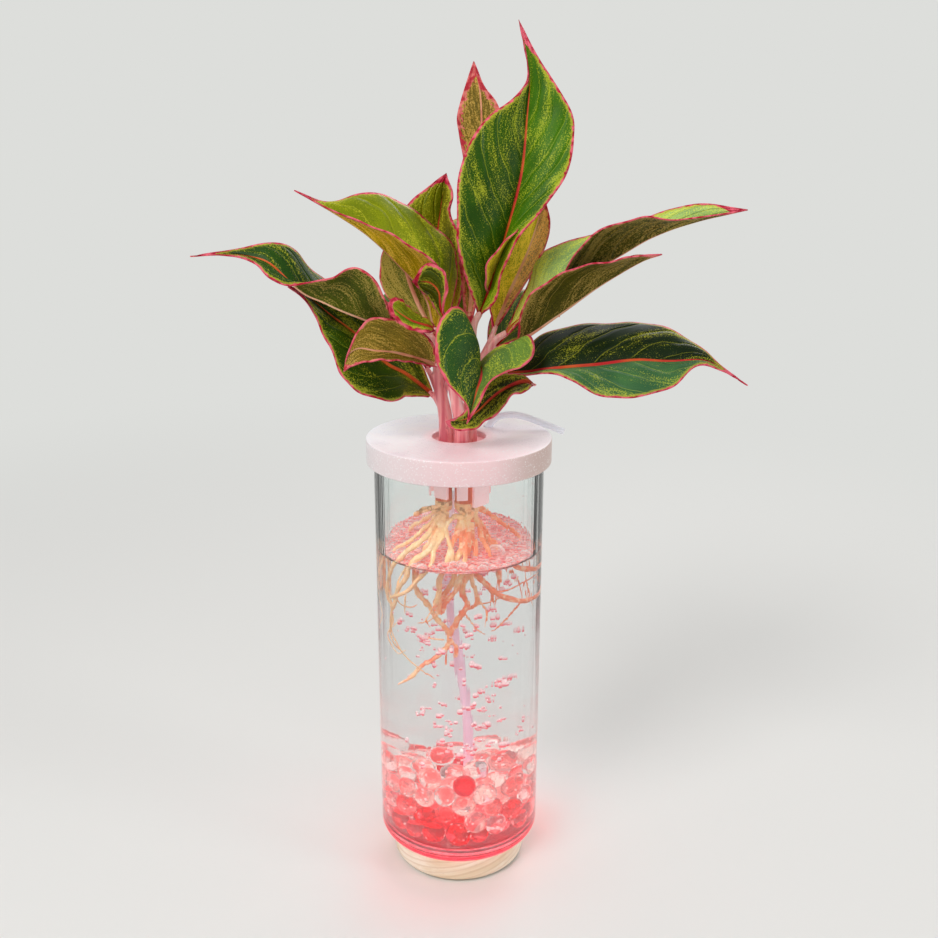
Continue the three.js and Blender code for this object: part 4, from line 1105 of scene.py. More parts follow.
# Each leaf: the cane that carries it, the height where its petiole parts from it, the petiole's radius and
# bends, and the spine of its blade from base to tip. A blade that the front shows has the places of its two
# margins, which meet in the tip, and the way that its upper side faces in the middle. The others have the
# widest of their halves and how far those places move towards the tip, the way that the upper side faces at
# the base, the middle and the tip, and how far each half folds up there, in degrees. Heights are above
# the lid.
LEAVES = {
    "crown": dict(
        cane="right", parts=34, petiole=2.4, up=(-0.1, -1, 0.1),
        spine=[(11, 0, 68), (17, 1, 83), (24, 4, 105), (33, 10, 140), (36, 16, 170), (37, 18, 188),
            (35, 19, 203), (31, 20, 218)],
        margins=[
            [(10, -1, 69), (6, -6, 81), (0, -9, 101), (-1, -7, 116), (-1, -2, 134), (1, 2, 146),
                (6, 6, 158), (15, 10, 170), (28, 13, 179), (36, 17, 190), (34, 19, 204)],
            [(12, -1, 68), (17, -6, 73), (21, -8, 80), (23, -9, 92), (31, -10, 109), (51, -4, 133),
                (58, 0, 147), (60, 4, 160), (58, 8, 174), (43, 15, 197), (36, 18, 209)],
        ],
    ),
    "back_tall": dict(
        cane="right", parts=26, petiole=2, bends=[(5, 10, 44)], up=(0, 1, 0),
        spine=[(5, 14, 56), (8, 24, 90), (12, 33, 138), (12, 38, 178), (8, 40, 199)],
        margins=[
            [(4, 14, 56), (1, 20, 95), (3, 30, 140), (0, 34, 162), (-1, 35, 171), (4, 38, 188)],
            [(6, 14, 56), (15, 22, 95), (21, 30, 138), (25, 34, 162), (21, 36, 177), (14, 38, 186)],
        ],
    ),
    "lime": dict(
        cane="left", parts=30, petiole=2.4, up=(0.3, -0.3, 0.9),
        spine=[(-13, -2, 55), (-18, -8, 78), (-32, -14, 96), (-48, -18, 112), (-66, -18, 124),
            (-84, -16, 134)],
        margins=[
            [(-12, -3, 56), (-8, -20, 75), (-6, -25, 87), (-9, -26, 95), (-15, -27, 101),
                (-32, -28, 112), (-47, -25, 118), (-66, -20, 125)],
            [(-12, -1, 56), (-5, 4, 68), (-2, 9, 81), (-1, 12, 95), (-5, 13, 106), (-21, 10, 120),
                (-31, 6, 127), (-41, 2, 131), (-52, -3, 132), (-63, -10, 128), (-72, -14, 129)],
        ],
    ),
    "olive": dict(
        cane="left", parts=24, petiole=1.8, bends=[(-5, 14, 48)], up=(0, -1, 0.1),
        spine=[(-3, 22, 64), (-7, 24, 80), (-12, 26, 102), (-10, 28, 122), (-7, 29, 141)],
        margins=[
            [(-4, 21, 64), (-19, 19, 79), (-31, 19, 101), (-33, 20, 116), (-28, 22, 125),
                (-17, 25, 134)],
            [(-2, 21, 64), (2, 18, 79), (1, 19, 98), (-1, 20, 111), (-5, 22, 121), (-3, 22, 129)],
        ],
    ),
    "long_left": dict(
        cane="left", parts=26, petiole=2.4, up=(0.2, -0.3, 1),
        spine=[(-21, -8, 57), (-35, -15, 62), (-59, -22, 72), (-71, -24, 78), (-79, -26, 82),
            (-86, -28, 88), (-97, -25, 98), (-107, -22, 101), (-122, -20, 102), (-139, -18, 101)],
        margins=[
            [(-21, -9, 57), (-33, -24, 68), (-38, -32, 81), (-42, -35, 91), (-51, -35, 97),
                (-58, -34, 96), (-64, -33, 92), (-78, -32, 89), (-88, -33, 88), (-97, -33, 92),
                (-104, -29, 99), (-122, -21, 102)],
            [(-20, -7, 57), (-33, -4, 67), (-48, -4, 76), (-61, -4, 82), (-76, -8, 91), (-85, -12, 103),
                (-96, -16, 108), (-113, -18, 105)],
        ],
    ),
    "low_left": dict(
        cane="left", parts=8, petiole=2.2, half=[31, 20], skew=[-0.02, 0],
        spine=[(-16, 4, 23), (-29, 2, 34), (-41, -2, 42), (-56, -5, 58), (-69, -8, 69), (-79, -10, 78),
            (-90, -12, 85)],
        face=[(0.3, -0.7, 0.8), (0.3, -0.7, 0.7), (0.3, -0.7, 0.7)],
        open=[(14, 28), (10, 18), (12, 16)],
    ),
    "brown_left": dict(
        cane="middle", parts=22, petiole=2, up=(0, 0.8, 0.6),
        spine=[(-12, -14, 43), (-23, -20, 48), (-34, -26, 52), (-44, -31, 54), (-52, -35, 56),
            (-57, -39, 53), (-59, -40, 45)],
        margins=[
            [(-12, -15, 44), (-13, -22, 55), (-19, -26, 63), (-27, -30, 68), (-35, -33, 71),
                (-42, -35, 72), (-48, -36, 70), (-54, -38, 61), (-57, -40, 53)],
            [(-12, -15, 42), (-23, -27, 47), (-33, -36, 50), (-43, -41, 51), (-54, -44, 49)],
        ],
    ),
    "upper_right": dict(
        cane="right", parts=28, petiole=2.4, up=(-0.4, 0, 1),
        spine=[(25, 6, 56), (39, 8, 67), (63, 4, 84), (87, -2, 100), (103, -6, 110), (124, -10, 118),
            (149, -12, 124)],
        margins=[
            [(25, 7, 56), (32, 12, 70), (38, 17, 82), (41, 20, 92), (46, 21, 99), (56, 20, 104),
                (69, 16, 108), (94, 5, 117), (112, -3, 124), (127, -8, 127)],
            [(26, 5, 55), (41, -6, 74), (53, -13, 89), (57, -16, 96), (62, -19, 105), (71, -21, 114),
                (92, -22, 121), (104, -20, 120), (119, -17, 120), (134, -14, 122)],
        ],
    ),
    "brown_right": dict(
        cane="right", parts=20, petiole=2.2, up=(-0.4, 0.6, 0.7),
        spine=[(32, -3, 53), (42, -6, 60), (59, -10, 73), (74, -14, 85), (94, -18, 98), (105, -18, 102)],
        margins=[
            [(32, -4, 53), (32, -14, 67), (35, -21, 79), (40, -25, 85), (48, -28, 91), (60, -31, 97),
                (78, -30, 100), (90, -25, 102)],
            [(33, -2, 53), (42, 4, 62), (59, 6, 76), (71, 3, 87), (82, -3, 95), (90, -9, 100)],
        ],
    ),
    "wide_right": dict(
        cane="right", parts=10, petiole=2.4, up=(0, -0.55, 0.85),
        spine=[(25, -6, 36), (38, -10, 38), (54, -14, 41), (75, -18, 44), (93, -21, 47), (111, -24, 47),
            (127, -26, 48), (138, -27, 44), (152, -28, 35)],
        margins=[
            [(25, -5, 36), (34, 6, 44), (44, 12, 53), (56, 13, 58), (73, 11, 61), (86, 7, 62),
                (100, 2, 63), (111, -4, 62), (124, -14, 56), (130, -20, 52), (138, -26, 45)],
            [(25, -7, 35), (38, -16, 38), (51, -22, 40), (58, -28, 38), (72, -37, 32), (81, -40, 31),
                (92, -41, 32), (110, -38, 36), (124, -31, 46), (137, -28, 43)],
        ],
    ),
    "front": dict(
        cane="middle", parts=24, petiole=2.2, up=(0, -0.5, 1),
        spine=[(10, -14, 41), (11, -25, 43), (11, -37, 41), (9, -45, 36), (7, -49, 29), (4, -50, 20)],
        margins=[
            [(9, -15, 42), (6, -20, 56), (4, -24, 67), (1, -27, 76), (-5, -31, 76), (-10, -36, 70),
                (-12, -40, 63), (-12, -44, 56), (-10, -48, 48), (-5, -51, 40), (3, -52, 32),
                (5, -51, 26)],
            [(11, -15, 42), (16, -15, 50), (23, -14, 54), (30, -13, 55), (37, -12, 59), (40, -16, 55),
                (39, -22, 49), (35, -28, 46), (27, -36, 45), (18, -44, 43), (14, -49, 38),
                (10, -51, 30)],
        ],
    ),
    "dark_low": dict(
        cane="right", parts=4, petiole=1.1, bends=[(24, -5, 27)], lead=0.02, up=(0, -0.6, 0.8),
        spine=[(40, -13, 32), (34, -16, 34), (25, -19, 31), (17, -22, 26), (10, -25, 20), (3, -27, 16),
            (-7, -27, 15)],
        margins=[
            [(40, -12, 33), (33, -14, 38), (22, -15, 38), (15, -17, 34), (10, -20, 29), (2, -25, 19)],
            [(40, -14, 32), (35, -23, 30), (29, -27, 30), (25, -29, 26), (21, -32, 21), (14, -34, 17),
                (8, -35, 13), (1, -34, 12), (-5, -31, 13)],
        ],
    ),
    "lime_flap": dict(
        cane="middle", parts=30, petiole=1.5, up=(0, -0.5, 0.85),
        spine=[(-12, -26, 64), (-18, -30, 67), (-25, -32, 70), (-31, -33, 74), (-36, -33, 79)],
        margins=[
            [(-12, -27, 64), (-15, -34, 64), (-20, -37, 65), (-26, -39, 67), (-31, -40, 71),
                (-35, -38, 75)],
            [(-12, -25, 65), (-16, -22, 69), (-21, -21, 71), (-27, -22, 76), (-30, -25, 80),
                (-34, -29, 81)],
        ],
    ),
    "small_curl": dict(
        cane="middle", parts=31, petiole=1.5, up=(-0.3, -0.9, 0.2),
        spine=[(-5, -23, 66), (-9, -26, 76), (-10, -27, 84), (-15, -27, 89), (-24, -25, 89)],
        margins=[
            [(-6, -22, 66), (-12, -21, 74), (-16, -20, 80), (-20, -21, 84)],
            [(-5, -24, 66), (-8, -30, 76), (-6, -34, 84), (-6, -36, 90), (-8, -36, 96), (-13, -35, 99),
                (-18, -31, 98)],
        ],
    ),
    "back_left": dict(
        cane="left", parts=32, petiole=2, half=[19, 19], skew=[0, 0],
        spine=[(-17, 11, 60), (-24, 16, 74), (-29, 18, 88), (-33, 19, 104), (-30, 18, 119)],
        face=[(0.2, 1, 0.2), (0.1, 1, 0), (0, 1, 0)],
        open=[(38, 38), (22, 22), (16, 16)],
    ),
    "pink_right": dict(
        cane="right", parts=32, petiole=1.8, up=(-0.2, 1, 0.1),
        spine=[(20, 10, 59), (27, 16, 76), (37, 20, 98), (43, 22, 116), (46, 22, 130)],
        margins=[
            [(19, 9, 60), (16, 3, 76), (14, -8, 87), (15, -14, 97), (21, -13, 105), (31, -6, 114),
                (41, 8, 123)],
            [(21, 10, 59), (31, 14, 74), (41, 18, 89), (48, 20, 103), (50, 21, 116)],
        ],
    ),
    "back_right": dict(
        cane="right", parts=14, petiole=1.8, half=[20, 20], skew=[0, 0],
        spine=[(20, 16, 46), (32, 28, 56), (45, 46, 66), (60, 64, 70)],
        face=[(-0.2, -0.7, 0.7), (-0.2, -0.7, 0.7), (-0.1, -0.7, 0.7)],
        open=[(28, 28), (20, 20), (16, 16)],
    ),
    "rear_left": dict(
        cane="left", parts=12, petiole=2, half=[22, 22], skew=[0, 0],
        spine=[(-18, 18, 34), (-28, 36, 48), (-40, 60, 62), (-50, 84, 64), (-56, 100, 54)],
        face=[(0.3, -0.3, 1), (0, 0, 1), (-0.3, 0.4, 0.8)],
        open=[(38, 38), (24, 24), (16, 16)],
    ),
    "rear_right": dict(
        cane="right", parts=6, petiole=2, bends=[(14, 16, 20)], half=[22, 22], skew=[0, 0],
        spine=[(20, 24, 30), (32, 42, 44), (46, 66, 56), (58, 90, 58), (64, 104, 50)],
        face=[(-0.3, -0.3, 1), (0, 0, 1), (0.3, 0.4, 0.8)],
        open=[(38, 38), (24, 24), (16, 16)],
    ),
    "rear_middle": dict(
        cane="left", parts=18, petiole=2, bends=[(-6, 14, 36)], half=[21, 21], skew=[0, 0],
        spine=[(-4, 28, 52), (-2, 46, 74), (4, 66, 98), (6, 88, 110), (6, 110, 106)],
        face=[(0, -0.7, 0.8), (0, -0.3, 1), (0, 0.3, 1)],
        open=[(44, 44), (26, 26), (16, 16)],
    ),
}

# The look of each leaf: the colours of its upper side on the left and right half and of its underside on
# both, how speckled it is and how wide its crimson margin is
LOOKS = {
    "crown": ("#264a02", "#3c6a02", "#8a7e1c", "#8a7e1c", 0.6, 0.9),
    "back_tall": ("#3f5a10", "#3f5a10", "#84702a", "#84702a", 0.5, 2.2),
    "lime": ("#709e04", "#768404", "#b2960a", "#b2960a", 0.6, 1.2),
    "olive": ("#747c05", "#6c6606", "#6a5c18", "#6a5c18", 0.85, 1),
    "long_left": ("#1f4208", "#1f4208", "#444e02", "#5a5e0c", 0.35, 0.8),
    "low_left": ("#2c4806", "#284006", "#6a5c18", "#6a5c18", 0.55, 0.6),
    "brown_left": ("#3f5a10", "#3f5a10", "#8a7826", "#706018", 0.5, 0.9),
    # upper_right's pale upper colours are partly the leaf's light green and partly painted sheen
    "upper_right": ("#9cbe74", "#8cae68", "#525008", "#4c4c06", 0.7, 0.7),
    "brown_right": ("#33501c", "#33501c", "#46440a", "#46440a", 0.5, 0.7),
    # wide_right's grey-green colour for its right half is painted sheen over the leaf's dark green
    "wide_right": ("#0f2204", "#3f6c40", "#8c8050", "#8c8050", 0.3, 0.6),
    "front": ("#64843a", "#26481a", "#6a5c18", "#6a5c18", 0.25, 1),
    "dark_low": ("#182606", "#20280a", "#5a3c18", "#5a3c18", 0.5, 0.6),
    "lime_flap": ("#5e8012", "#6c7610", "#6a5c18", "#6a5c18", 0.6, 1.7),
    "small_curl": ("#3f4402", "#48540c", "#4a4a04", "#4a4a04", 0.4, 1.2),
    "back_left": ("#3f5a10", "#3f5a10", "#6a6c16", "#6a6c16", 0.9, 0.6),
    "pink_right": ("#8a9a18", "#8a9a18", "#c89c64", "#c8ba28", 0.6, 0.8),
    "back_right": ("#254220", "#2c4a20", "#6a5c18", "#6a5c18", 0.4, 0.8),
    "rear_left": ("#35561a", "#35561a", "#665a1c", "#665a1c", 0.5, 0.8),
    "rear_right": ("#2a4a1a", "#2a4a1a", "#665a1c", "#665a1c", 0.5, 0.8),
    "rear_middle": ("#45640e", "#45640e", "#665a1c", "#665a1c", 0.5, 0.8),
}
# A plain blade's half width along its spine, both as shares
OUTLINE = (
    (0, 0.08), (0.1, 0.4), (0.24, 0.78), (0.4, 1), (0.55, 0.93), (0.68, 0.66), (0.78, 0.34), (0.87, 0.13),
    (1, 0.015),
)


def at_lid(spot):
    return Vector((spot[0], spot[1], LID_TOP + spot[2]))


def on_cane(name, height):
    route = CANES[name]
    for below, above in zip(route, route[1:]):
        if height <= above[2]:
            share = (height - below[2]) / (above[2] - below[2])
            return at_lid([mix(a, b, share) for a, b in zip(below, above)])
    return at_lid(route[-1])


def petiole(leaf):
    """A petiole, which parts slowly from its cane and ends under its blade."""
    spine = [at_lid(spot) for spot in leaf["spine"]]
    along = (spine[1] - spine[0]).normalized()
    start = on_cane(leaf["cane"], leaf["parts"])
    lower = on_cane(leaf["cane"], leaf["parts"] - PETIOLE_LEAVE)
    before = spine[0] - along * leaf.get("lead", 0.25) * (spine[0] - start).length
    bends = [at_lid(spot) for spot in leaf.get("bends", [])]
    line = Line([lower, start, *bends, before, spine[0] + along * 1.5])
    size = leaf["petiole"]
    shares = [i / (PETIOLE_STEPS - 1) for i in range(PETIOLE_STEPS)]
    radii = [size * mix(1.45, 0.78, share ** 0.6) for share in shares]
    return tube(line.sampled(PETIOLE_STEPS), radii, 16)


def cane_shape(name, seed):
    draw = random.Random(seed)
    line = Line([at_lid(spot) for spot in CANES[name]])
    shares = [i / (CANE_STEPS - 1) for i in range(CANE_STEPS)]
    core = [CANE_RADIUS * 0.86 * mix(1, CANE_TAPER, max(0, 2 * share - 1)) for share in shares]
    parts = [tube(line.sampled(CANE_STEPS), core, 20)]
    for ridge in range(RIDGES):
        angle = 72 * ridge + draw.uniform(-14, 14)
        top = draw.uniform(0.75, 0.98)
        points = []
        radii = []
        for share in shares:
            if share <= top:
                out = CANE_RADIUS * 0.52 * mix(1, CANE_TAPER, max(0, 2 * share - 1))
                points.append(line.point(share) + on_ring(out, angle + 18 * share))
                radii.append(RIDGE_GIRTH * mix(1, 0.6, share / top))
        parts.append(tube(points, radii, 12))
    parts += [petiole(leaf) for leaf in LEAVES.values() if leaf["cane"] == name]
    return fused(parts, 0.55, 3)


for number, name in enumerate(CANES):
    piece(f"stem_{name}", "lid", cane_shape(name, 31 + number), [CANE], [f"cane_{name}"], sharp=180)


# Roots

# Each root: its radius at the crown and at its tip, then the places that it passes
ROOTS = {
    "left": (
        (1.7, 1.5, (-9, -7, 226), (-14, -11, 227), (-20, -15, 227), (-26, -18, 225)),
        (1.9, 1.2, (-9, -9, 225), (-14, -18, 219), (-22, -27, 213), (-30, -28, 207), (-35, -24, 198),
            (-37, -18, 186), (-35, -13, 172)),
        (2, 1.3, (-8, -10, 224), (-11, -20, 216), (-18, -30, 209), (-25, -32, 203), (-29, -29, 192),
            (-33, -24, 180), (-34, -17, 167)),
        (1.7, 1, (-7, -11, 224), (-9, -20, 216), (-13, -29, 209), (-16, -33, 202), (-22, -33, 193),
            (-30, -28, 184), (-37, -19, 177)),
        (1.5, 0.8, (-10, -8, 224), (-19, -14, 216), (-29, -17, 209), (-37, -13, 202), (-40, -8, 192),
            (-39, -2, 180)),
        (1.8, 1.1, (-9, -8, 222), (-17, -13, 208), (-20, -12, 196), (-20, -10, 184), (-16, -11, 174),
            (-10, -12, 165), (-6, -10, 156), (-4, -8, 148), (-8, -9, 142), (-15, -12, 136),
            (-22, -16, 130), (-31, -20, 124)),
        (1.5, 0.8, (-10, -4, 224), (-20, 4, 214), (-30, 12, 204), (-36, 14, 190), (-37, 10, 172)),
        (1.4, 0.7, (-8, -2, 222), (-14, 12, 210), (-20, 24, 198), (-24, 30, 180), (-22, 32, 158)),
        (1.2, 0.8, (-5, -9, 151), (-1, -7, 145), (-2, -5, 137)),
    ),
    "middle": (
        (4.8, 3, (3, -10, 231), (4, -9.5, 224), (4.4, -9.4, 216)),
        (1.6, 1.3, (1, -11, 221), (-3, -15, 223), (-7, -20, 220), (-6, -24, 213), (-4, -27, 206),
            (-3, -28, 198)),
        (1.7, 1.4, (1, -12, 219), (-3, -22, 211), (-7, -29, 203), (-9, -29, 194), (-10, -25, 184),
            (-11, -21, 172)),
        (1.9, 1.4, (2, -12, 218), (1, -22, 208), (-2, -26, 198), (-4, -21, 187), (-8, -16, 177),
            (-9, -13, 167)),
        (1.7, 1.3, (4, -12, 217), (4, -24, 208), (2, -29, 200), (-1, -25, 188), (-5, -21, 179),
            (-9, -16, 168)),
        (1.9, 1.4, (5, -11, 217), (5, -20, 207), (3, -21, 196), (2, -18, 184), (3, -16, 174),
            (0, -13, 164), (-4, -10, 155), (-5, -8, 149)),
        (1.5, 1.1, (5, -10, 217), (7, -15, 206), (5, -15, 192), (8, -14, 182), (8, -13, 174),
            (1, -12, 168)),
        (1.5, 1.2, (4, -11, 220), (5, -17, 217), (5, -22, 211), (3, -26, 203)),
        (2, 1.3, (6, -10, 217), (9, -18, 206), (9, -23, 195), (15, -22, 186), (24, -19, 178),
            (33, -13, 174), (39, -4, 173), (40, 8, 175)),
    ),
    "right": (
        (4.6, 3, (6.5, 8, 231), (7, 6, 224), (8, 2, 217)),
        (1.9, 1.3, (8, 2, 219), (13, -6, 211), (20, -10, 203), (27, -10, 194), (34, -3, 189),
            (39, 7, 188), (38, 16, 190)),
        (1.5, 1.4, (8, 0, 218), (14, -14, 209), (18, -22, 200), (21, -24, 190)),
        (1.6, 1.2, (9, 5, 222), (24, 6, 212), (35, 4, 204), (41, 5, 197)),
        (1.5, 0.8, (8, 8, 224), (18, 16, 212), (28, 22, 202), (33, 22, 188), (34, 18, 170)),
        (1.3, 0.6, (6, 10, 222), (8, 22, 208), (12, 30, 192), (14, 32, 172), (10, 32, 152)),
        (1.2, 0.9, (8, 2, 220), (14, -2, 212), (19, -6, 206), (24, -9, 201)),
    ),
}
# Hair roots, each with its place of growth, its bends and its end
HAIRS = {
    "left": (
        (0.75, (-24, -30, 206), (-31, -27, 192), (-34, -22, 174), (-36, -18, 160), (-33, -17, 149),
            (-27, -15, 143)),
        (0.6, (-34, -18, 172), (-35, -16, 160), (-30, -17, 147), (-20, -17, 135), (-11, -16, 128)),
        (0.55, (-35, -15, 175), (-33, -16, 163), (-36, -14, 152), (-31, -17, 143), (-26, -18, 146)),
        (0.5, (-33, -22, 182), (-30, -22, 176), (-24, -22, 174), (-20, -22, 176)),
        (0.5, (-36, -16, 184), (-34, -18, 172), (-35, -20, 160), (-31, -20, 164)),
        (0.5, (-7, -9, 150), (-12, -8, 150), (-18, -7, 151)),
        (0.6, (-4, -8, 150), (-5, -3, 142), (-6, 2, 130)),
        (0.45, (-24, 30, 178), (-30, 26, 160), (-28, 24, 146)),
        (0.45, (-37, 11, 176), (-35, 14, 160), (-36, 10, 146)),
        (0.45, (-20, -11, 186), (-24, -6, 176), (-25, -8, 164)),
        (0.45, (-40, -8, 190), (-41, -3, 176), (-38, -6, 162), (-40, -2, 150)),
    ),
    "middle": (
        (0.55, (-4, -11, 158), (2, -9, 167), (8, -8, 171), (15, -8, 173), (21, -8, 177)),
        (0.65, (31, -14, 175), (26, -15, 169), (21, -14, 162), (15, -12, 156)),
        (0.55, (15, -22, 186), (20, -14, 181), (28, -7, 182), (37, 1, 185)),
        (0.5, (-9, -14, 168), (-15, -12, 162), (-19, -10, 160)),
        (0.45, (-5, -21, 188), (-12, -24, 176), (-16, -24, 168), (-14, -22, 162)),
        (0.45, (8, -14, 178), (13, -18, 170), (12, -20, 162)),
        (0.45, (2, -17, 172), (7, -14, 160), (12, -12, 154)),
    ),
    "right": (
        (0.5, (30, -7, 191), (33, -10, 180), (36, -8, 168)),
        (0.5, (12, 30, 190), (20, 28, 174), (24, 26, 158)),
        (0.5, (34, 19, 172), (32, 22, 160), (35, 18, 148)),
        (0.45, (10, 24, 204), (2, 28, 190), (-2, 30, 172)),
        (0.45, (28, 21, 200), (24, 24, 184), (28, 22, 170)),
    ),
}


def root(start, end, places, draw, sides=12):
    """A root of uneven girth that wanders a little on its way and stays inside the glass."""
    line = Line(places)
    count = max(12, int(line.length / 1.6))
    sway = [draw.uniform(0, 2 * math.pi) for _ in range(4)]
    points, radii = [], []
    for i in range(count):
        share = i / (count - 1)
        girth = mix(start, end, share)
        run = share * line.length
        bend = 0.3 * start * min(1, 4 * share)
        spot = line.point(share)
        spot.x += bend * math.sin(run / 3.1 + sway[0])
        spot.y += bend * math.sin(run / 3.7 + sway[1])
        limit = GLASS_INSIDE - girth - 0.6
        if spot.to_2d().length > limit:
            spot.xy *= limit / spot.to_2d().length
        points.append(spot)
        lumps = 1 + 0.1 * math.sin(run / 1.9 + sway[2]) + 0.07 * math.sin(run / 0.9 + sway[3])
        radii.append(girth * lumps * min(1, 0.35 + 9 * (1 - share)))
    return tube(points, radii, sides)


def root_shape(name, seed):
    draw = random.Random(seed)
    x, y = CANES[name][0][:2]
    top = LID_TOP - CROWN_DROP - 0.3
    crown = bmesh.new()
    ball(crown, (x, y, top - 1.5), 5.2, 3, (1, 1, 1.2))
    parts = [mesh_from(crown, "knot")]
    parts += [root(start, end, places, draw) for start, end, *places in ROOTS[name]]
    shape = fused(parts, 0.42, 2)
    geom = shape.verts[:] + shape.edges[:] + shape.faces[:]
    bmesh.ops.bisect_plane(shape, geom=geom, plane_co=(0, 0, top), plane_no=(0, 0, 1), clear_outer=True)
    bmesh.ops.holes_fill(shape, edges=[e for e in shape.edges if e.is_boundary], sides=0)
    for girth, *places in HAIRS[name]:
        hair = root(girth, 0.55 * girth, places, draw, 8)
        shape.from_mesh(hair)
        bpy.data.meshes.remove(hair)
    return shape


for number, name in enumerate(ROOTS):
    shape = root_shape(name, 51 + number)
    piece(f"root_bundle_{name}", "lid", shape, [ROOT], [f"roots_{name}"], sharp=60)


# Leaves

def outline_at(along, skew):
    """The half width of a blade as a share of its widest, rounded a little."""
    total = 0
    shifts = (-0.03, 0, 0.03)
    for shift in shifts:
        spot = min(max(along + shift, 0), 1)
        share = min(1, max(0, spot - skew * math.sin(math.pi * spot)))
        for (low, a), (high, b) in zip(OUTLINE, OUTLINE[1:]):
            if share <= high:
                total += mix(a, b, (share - low) / (high - low))
                break
    return total / len(shifts)


def eased(values, share):
    part = 0 if share < 0.5 else 1
    t = 2 * share - part
    smooth = t * t * (3 - 2 * t)
    return [mix(a, b, smooth) for a, b in zip(values[part], values[part + 1])]


HALF_ROWS = 9
LENGTHS = 56
STATIONS = 14
THICK = 0.7
VEIN_GAP = 17
FRILL = 0.5
QUILT = 0.3
GROOVE = 0.5
BOW = 0.09


def margin(leaf, line, half):
    """A margin from the width of its half and how far that folds up, for a blade without its own places."""
    places = []
    for i in range(STATIONS + 1):
        share = i / STATIONS
        along = line.direction(share)
        up = Vector(eased(leaf["face"], share))
        up = (up - along * up.dot(along)).normalized()
        aside = along.cross(up) * (2 * half - 1)
        angle = math.radians(eased(leaf["open"], share)[half])
        width = outline_at(share, leaf["skew"][half]) * leaf["half"][half]
        places.append(line.point(share) + aside * width * math.cos(angle) + up * width * math.sin(angle))
    return Line(places)


def leaf_shape(name, leaf, number):
    """A blade between its margins, hollow over its midrib, with side veins and a slightly frilled edge."""
    line = Line([at_lid(spot) for spot in leaf["spine"]])
    if "margins" in leaf:
        tip = leaf["spine"][-1]
        edges = [Line([at_lid(spot) for spot in (*places, tip)]) for places in leaf["margins"]]
        aside = line.direction(0.5).cross(Vector(leaf["up"]))
        edges.sort(key=lambda edge: (edge.point(0.5) - line.point(0.5)).dot(aside))
    else:
        edges = [margin(leaf, line, half) for half in (0, 1)]
    *colors, dots, hem = LOOKS[name]
    shape = bmesh.new()
    bmesh.ops.create_grid(shape, x_segments=2 * HALF_ROWS, y_segments=LENGTHS, size=1)
    keys = ("edge", "rib", "along", "share", "seed", "dots", "hem")
    layers = [shape.verts.layers.float.new(key) for key in keys]
    upper, under = [shape.verts.layers.float_color.new(key) for key in ("upper", "under")]
    for vert in shape.verts:
        share = (vert.co.y + 1) / 2
        half = 1 if vert.co.x > 0 else 0
        out = abs(vert.co.x) ** 1.35
        spot = line.point(share)
        along = line.direction(share)
        across = edges[half].point(share) - spot
        width = max(across.length, 0.3)
        rise = across.cross(along) * (2 * half - 1)
        slope = rise.length / width
        edge = width * (1 - out) * max(0.3, across.cross(edges[half].direction(share)).length / width)
        reach = out * width * slope
        arch = math.sin(math.pi * out)
        frill = FRILL * math.sin(2 * math.pi * (6.5 * share + 0.21 * number + 0.4 * half))
        frill *= out ** 3 * min(1, width / 12)
        quilt = QUILT * math.sin(2 * math.pi * (share * line.length - 0.9 * reach) / VEIN_GAP) * arch
        groove = -GROOVE * math.exp(-((reach / 1.1) ** 2)) * (1 - share)
        bow = BOW * width * arch
        lift = (frill + (quilt + groove + bow) * slope) / max(rise.length, 1e-3)
        vert.co = spot + across * out + rise * lift
        for layer, mark in zip(layers, (edge, reach, share * line.length, share, 13.7 * number, dots, hem)):
            vert[layer] = mark
        vert[upper] = tint(colors[half])
        vert[under] = tint(colors[2 + half])
    return modified(
        shape, ("SUBSURF", {"levels": 1, "render_levels": 1}),
        ("SOLIDIFY", {"thickness": THICK, "offset": 0, "material_offset": 1, "material_offset_rim": 0}),
    )


for number, (name, leaf) in enumerate(LEAVES.items()):
    shape = leaf_shape(name, leaf, number)
    piece(f"blade_{name}", "lid", shape, [LEAF_UPPER, LEAF_UNDER], [f"leaf_{name}"], sharp=180)


# Floor, backdrop and lights

BACKDROP = "#dddedb"


def seen_directly(finish):
    """1 for what the camera sees, also in metal and through glass."""
    kinds = ("Is Camera Ray", "Is Glossy Ray", "Is Transmission Ray")
    first, *others = [finish.node("LightPath", output=kind) for kind in kinds]
    for other in others:
        first = first.most(other)
    return first


FLOOR_RADIUS = 9000
FADE = (260, 1300)
SOFT_LIGHT = 0.5

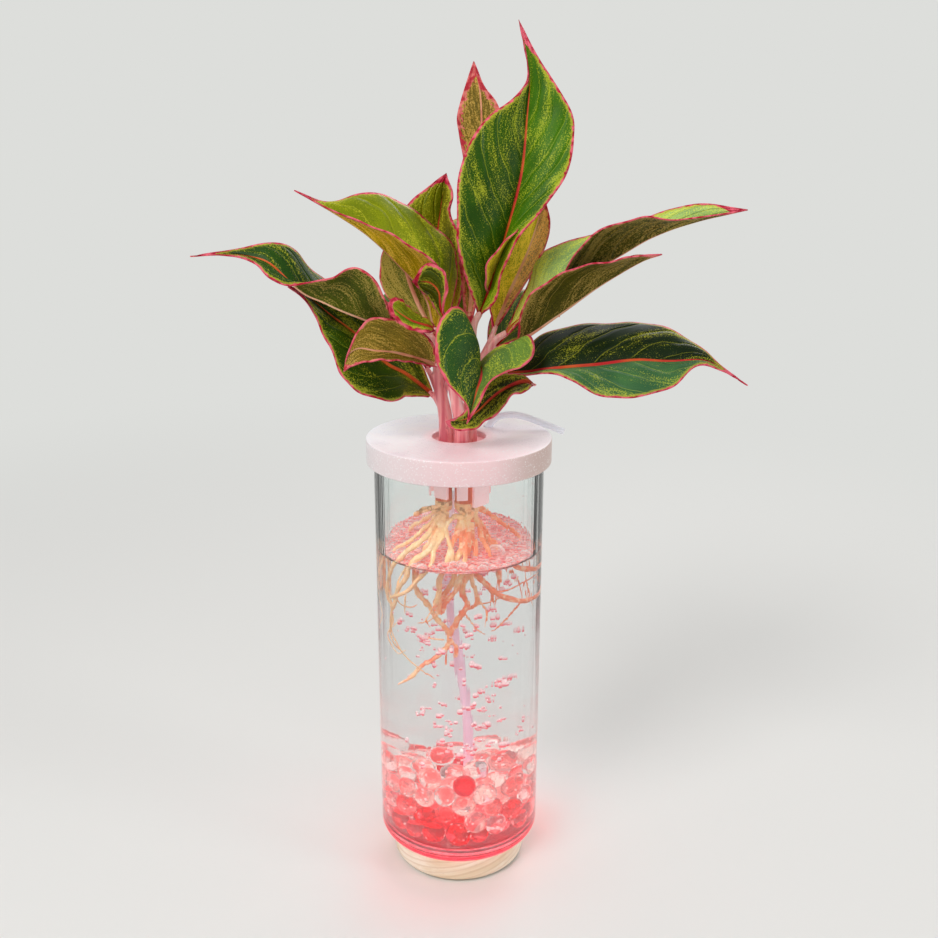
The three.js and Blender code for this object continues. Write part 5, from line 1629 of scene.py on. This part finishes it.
floor_finish = Finish("floor")
distance = floor_finish.node("VectorMath", {0: floor_finish.mm}, output="Value", operation="LENGTH")
fade = distance.rise(*FADE) * seen_directly(floor_finish)
ground = floor_finish.surface(Base_Color="#e3e2df", Roughness=0.7)
far = floor_finish.node("Emission", {"Color": BACKDROP, "Strength": 1})
floor_shape = bmesh.new()
bmesh.ops.create_circle(floor_shape, cap_ends=True, segments=96, radius=FLOOR_RADIUS)
bmesh.ops.scale(floor_shape, vec=(MM, MM, MM), verts=floor_shape.verts)
floor_mesh = mesh_from(floor_shape, "floor")
faded = floor_finish.node("MixShader", {0: fade, 1: ground, 2: far})
floor_mesh.materials.append(floor_finish.finish(faded))
floor = bpy.data.objects.new("floor", floor_mesh)
scene.collection.objects.link(floor)

world = bpy.data.worlds.new("studio")
scene.world = world
sky = Finish("studio", world)
plain = sky.node("Background", {"Color": BACKDROP, "Strength": 1})
soft = sky.node("Background", {"Color": (1, 1, 1, 1), "Strength": SOFT_LIGHT})
sky.finish(sky.node("MixShader", {0: seen_directly(sky), 1: soft, 2: plain}), "World")


def lamp(name, place, target, size, power, color="#ffffff"):
    """A rectangular studio lamp that faces its target."""
    data = bpy.data.lights.new(name, "AREA")
    data.shape = "RECTANGLE"
    data.size, data.size_y = size
    data.energy = power
    data.color = tint(color)[:3]
    made = bpy.data.objects.new(name, data)
    made.location = place
    made.rotation_euler = (Vector(target) - Vector(place)).to_track_quat("-Z", "Y").to_euler()
    made.visible_transmission = False
    scene.collection.objects.link(made)


lamp("key", place=(-0.7, -0.9, 1.3), target=(0, 0, 0.28), size=(0.6, 0.6), power=12.5)
lamp("fill", place=(1.2, -0.5, 0.7), target=(0, 0, 0.25), size=(0.25, 1.0), power=3.5)
lamp("rim", place=(0.5, 1.2, 1.2), target=(0, 0, 0.3), size=(0.8, 0.5), power=7)
lamp("glow", place=(0, 0, 0.0178), target=(0, 0, 1), size=(0.045, 0.045), power=0.06, color="#ff5a68")

scene.view_settings.view_transform = "Standard"
scene.cycles.use_denoising = True
scene.cycles.max_bounces = 24
scene.cycles.transmission_bounces = 20
scene.cycles.transparent_max_bounces = 24
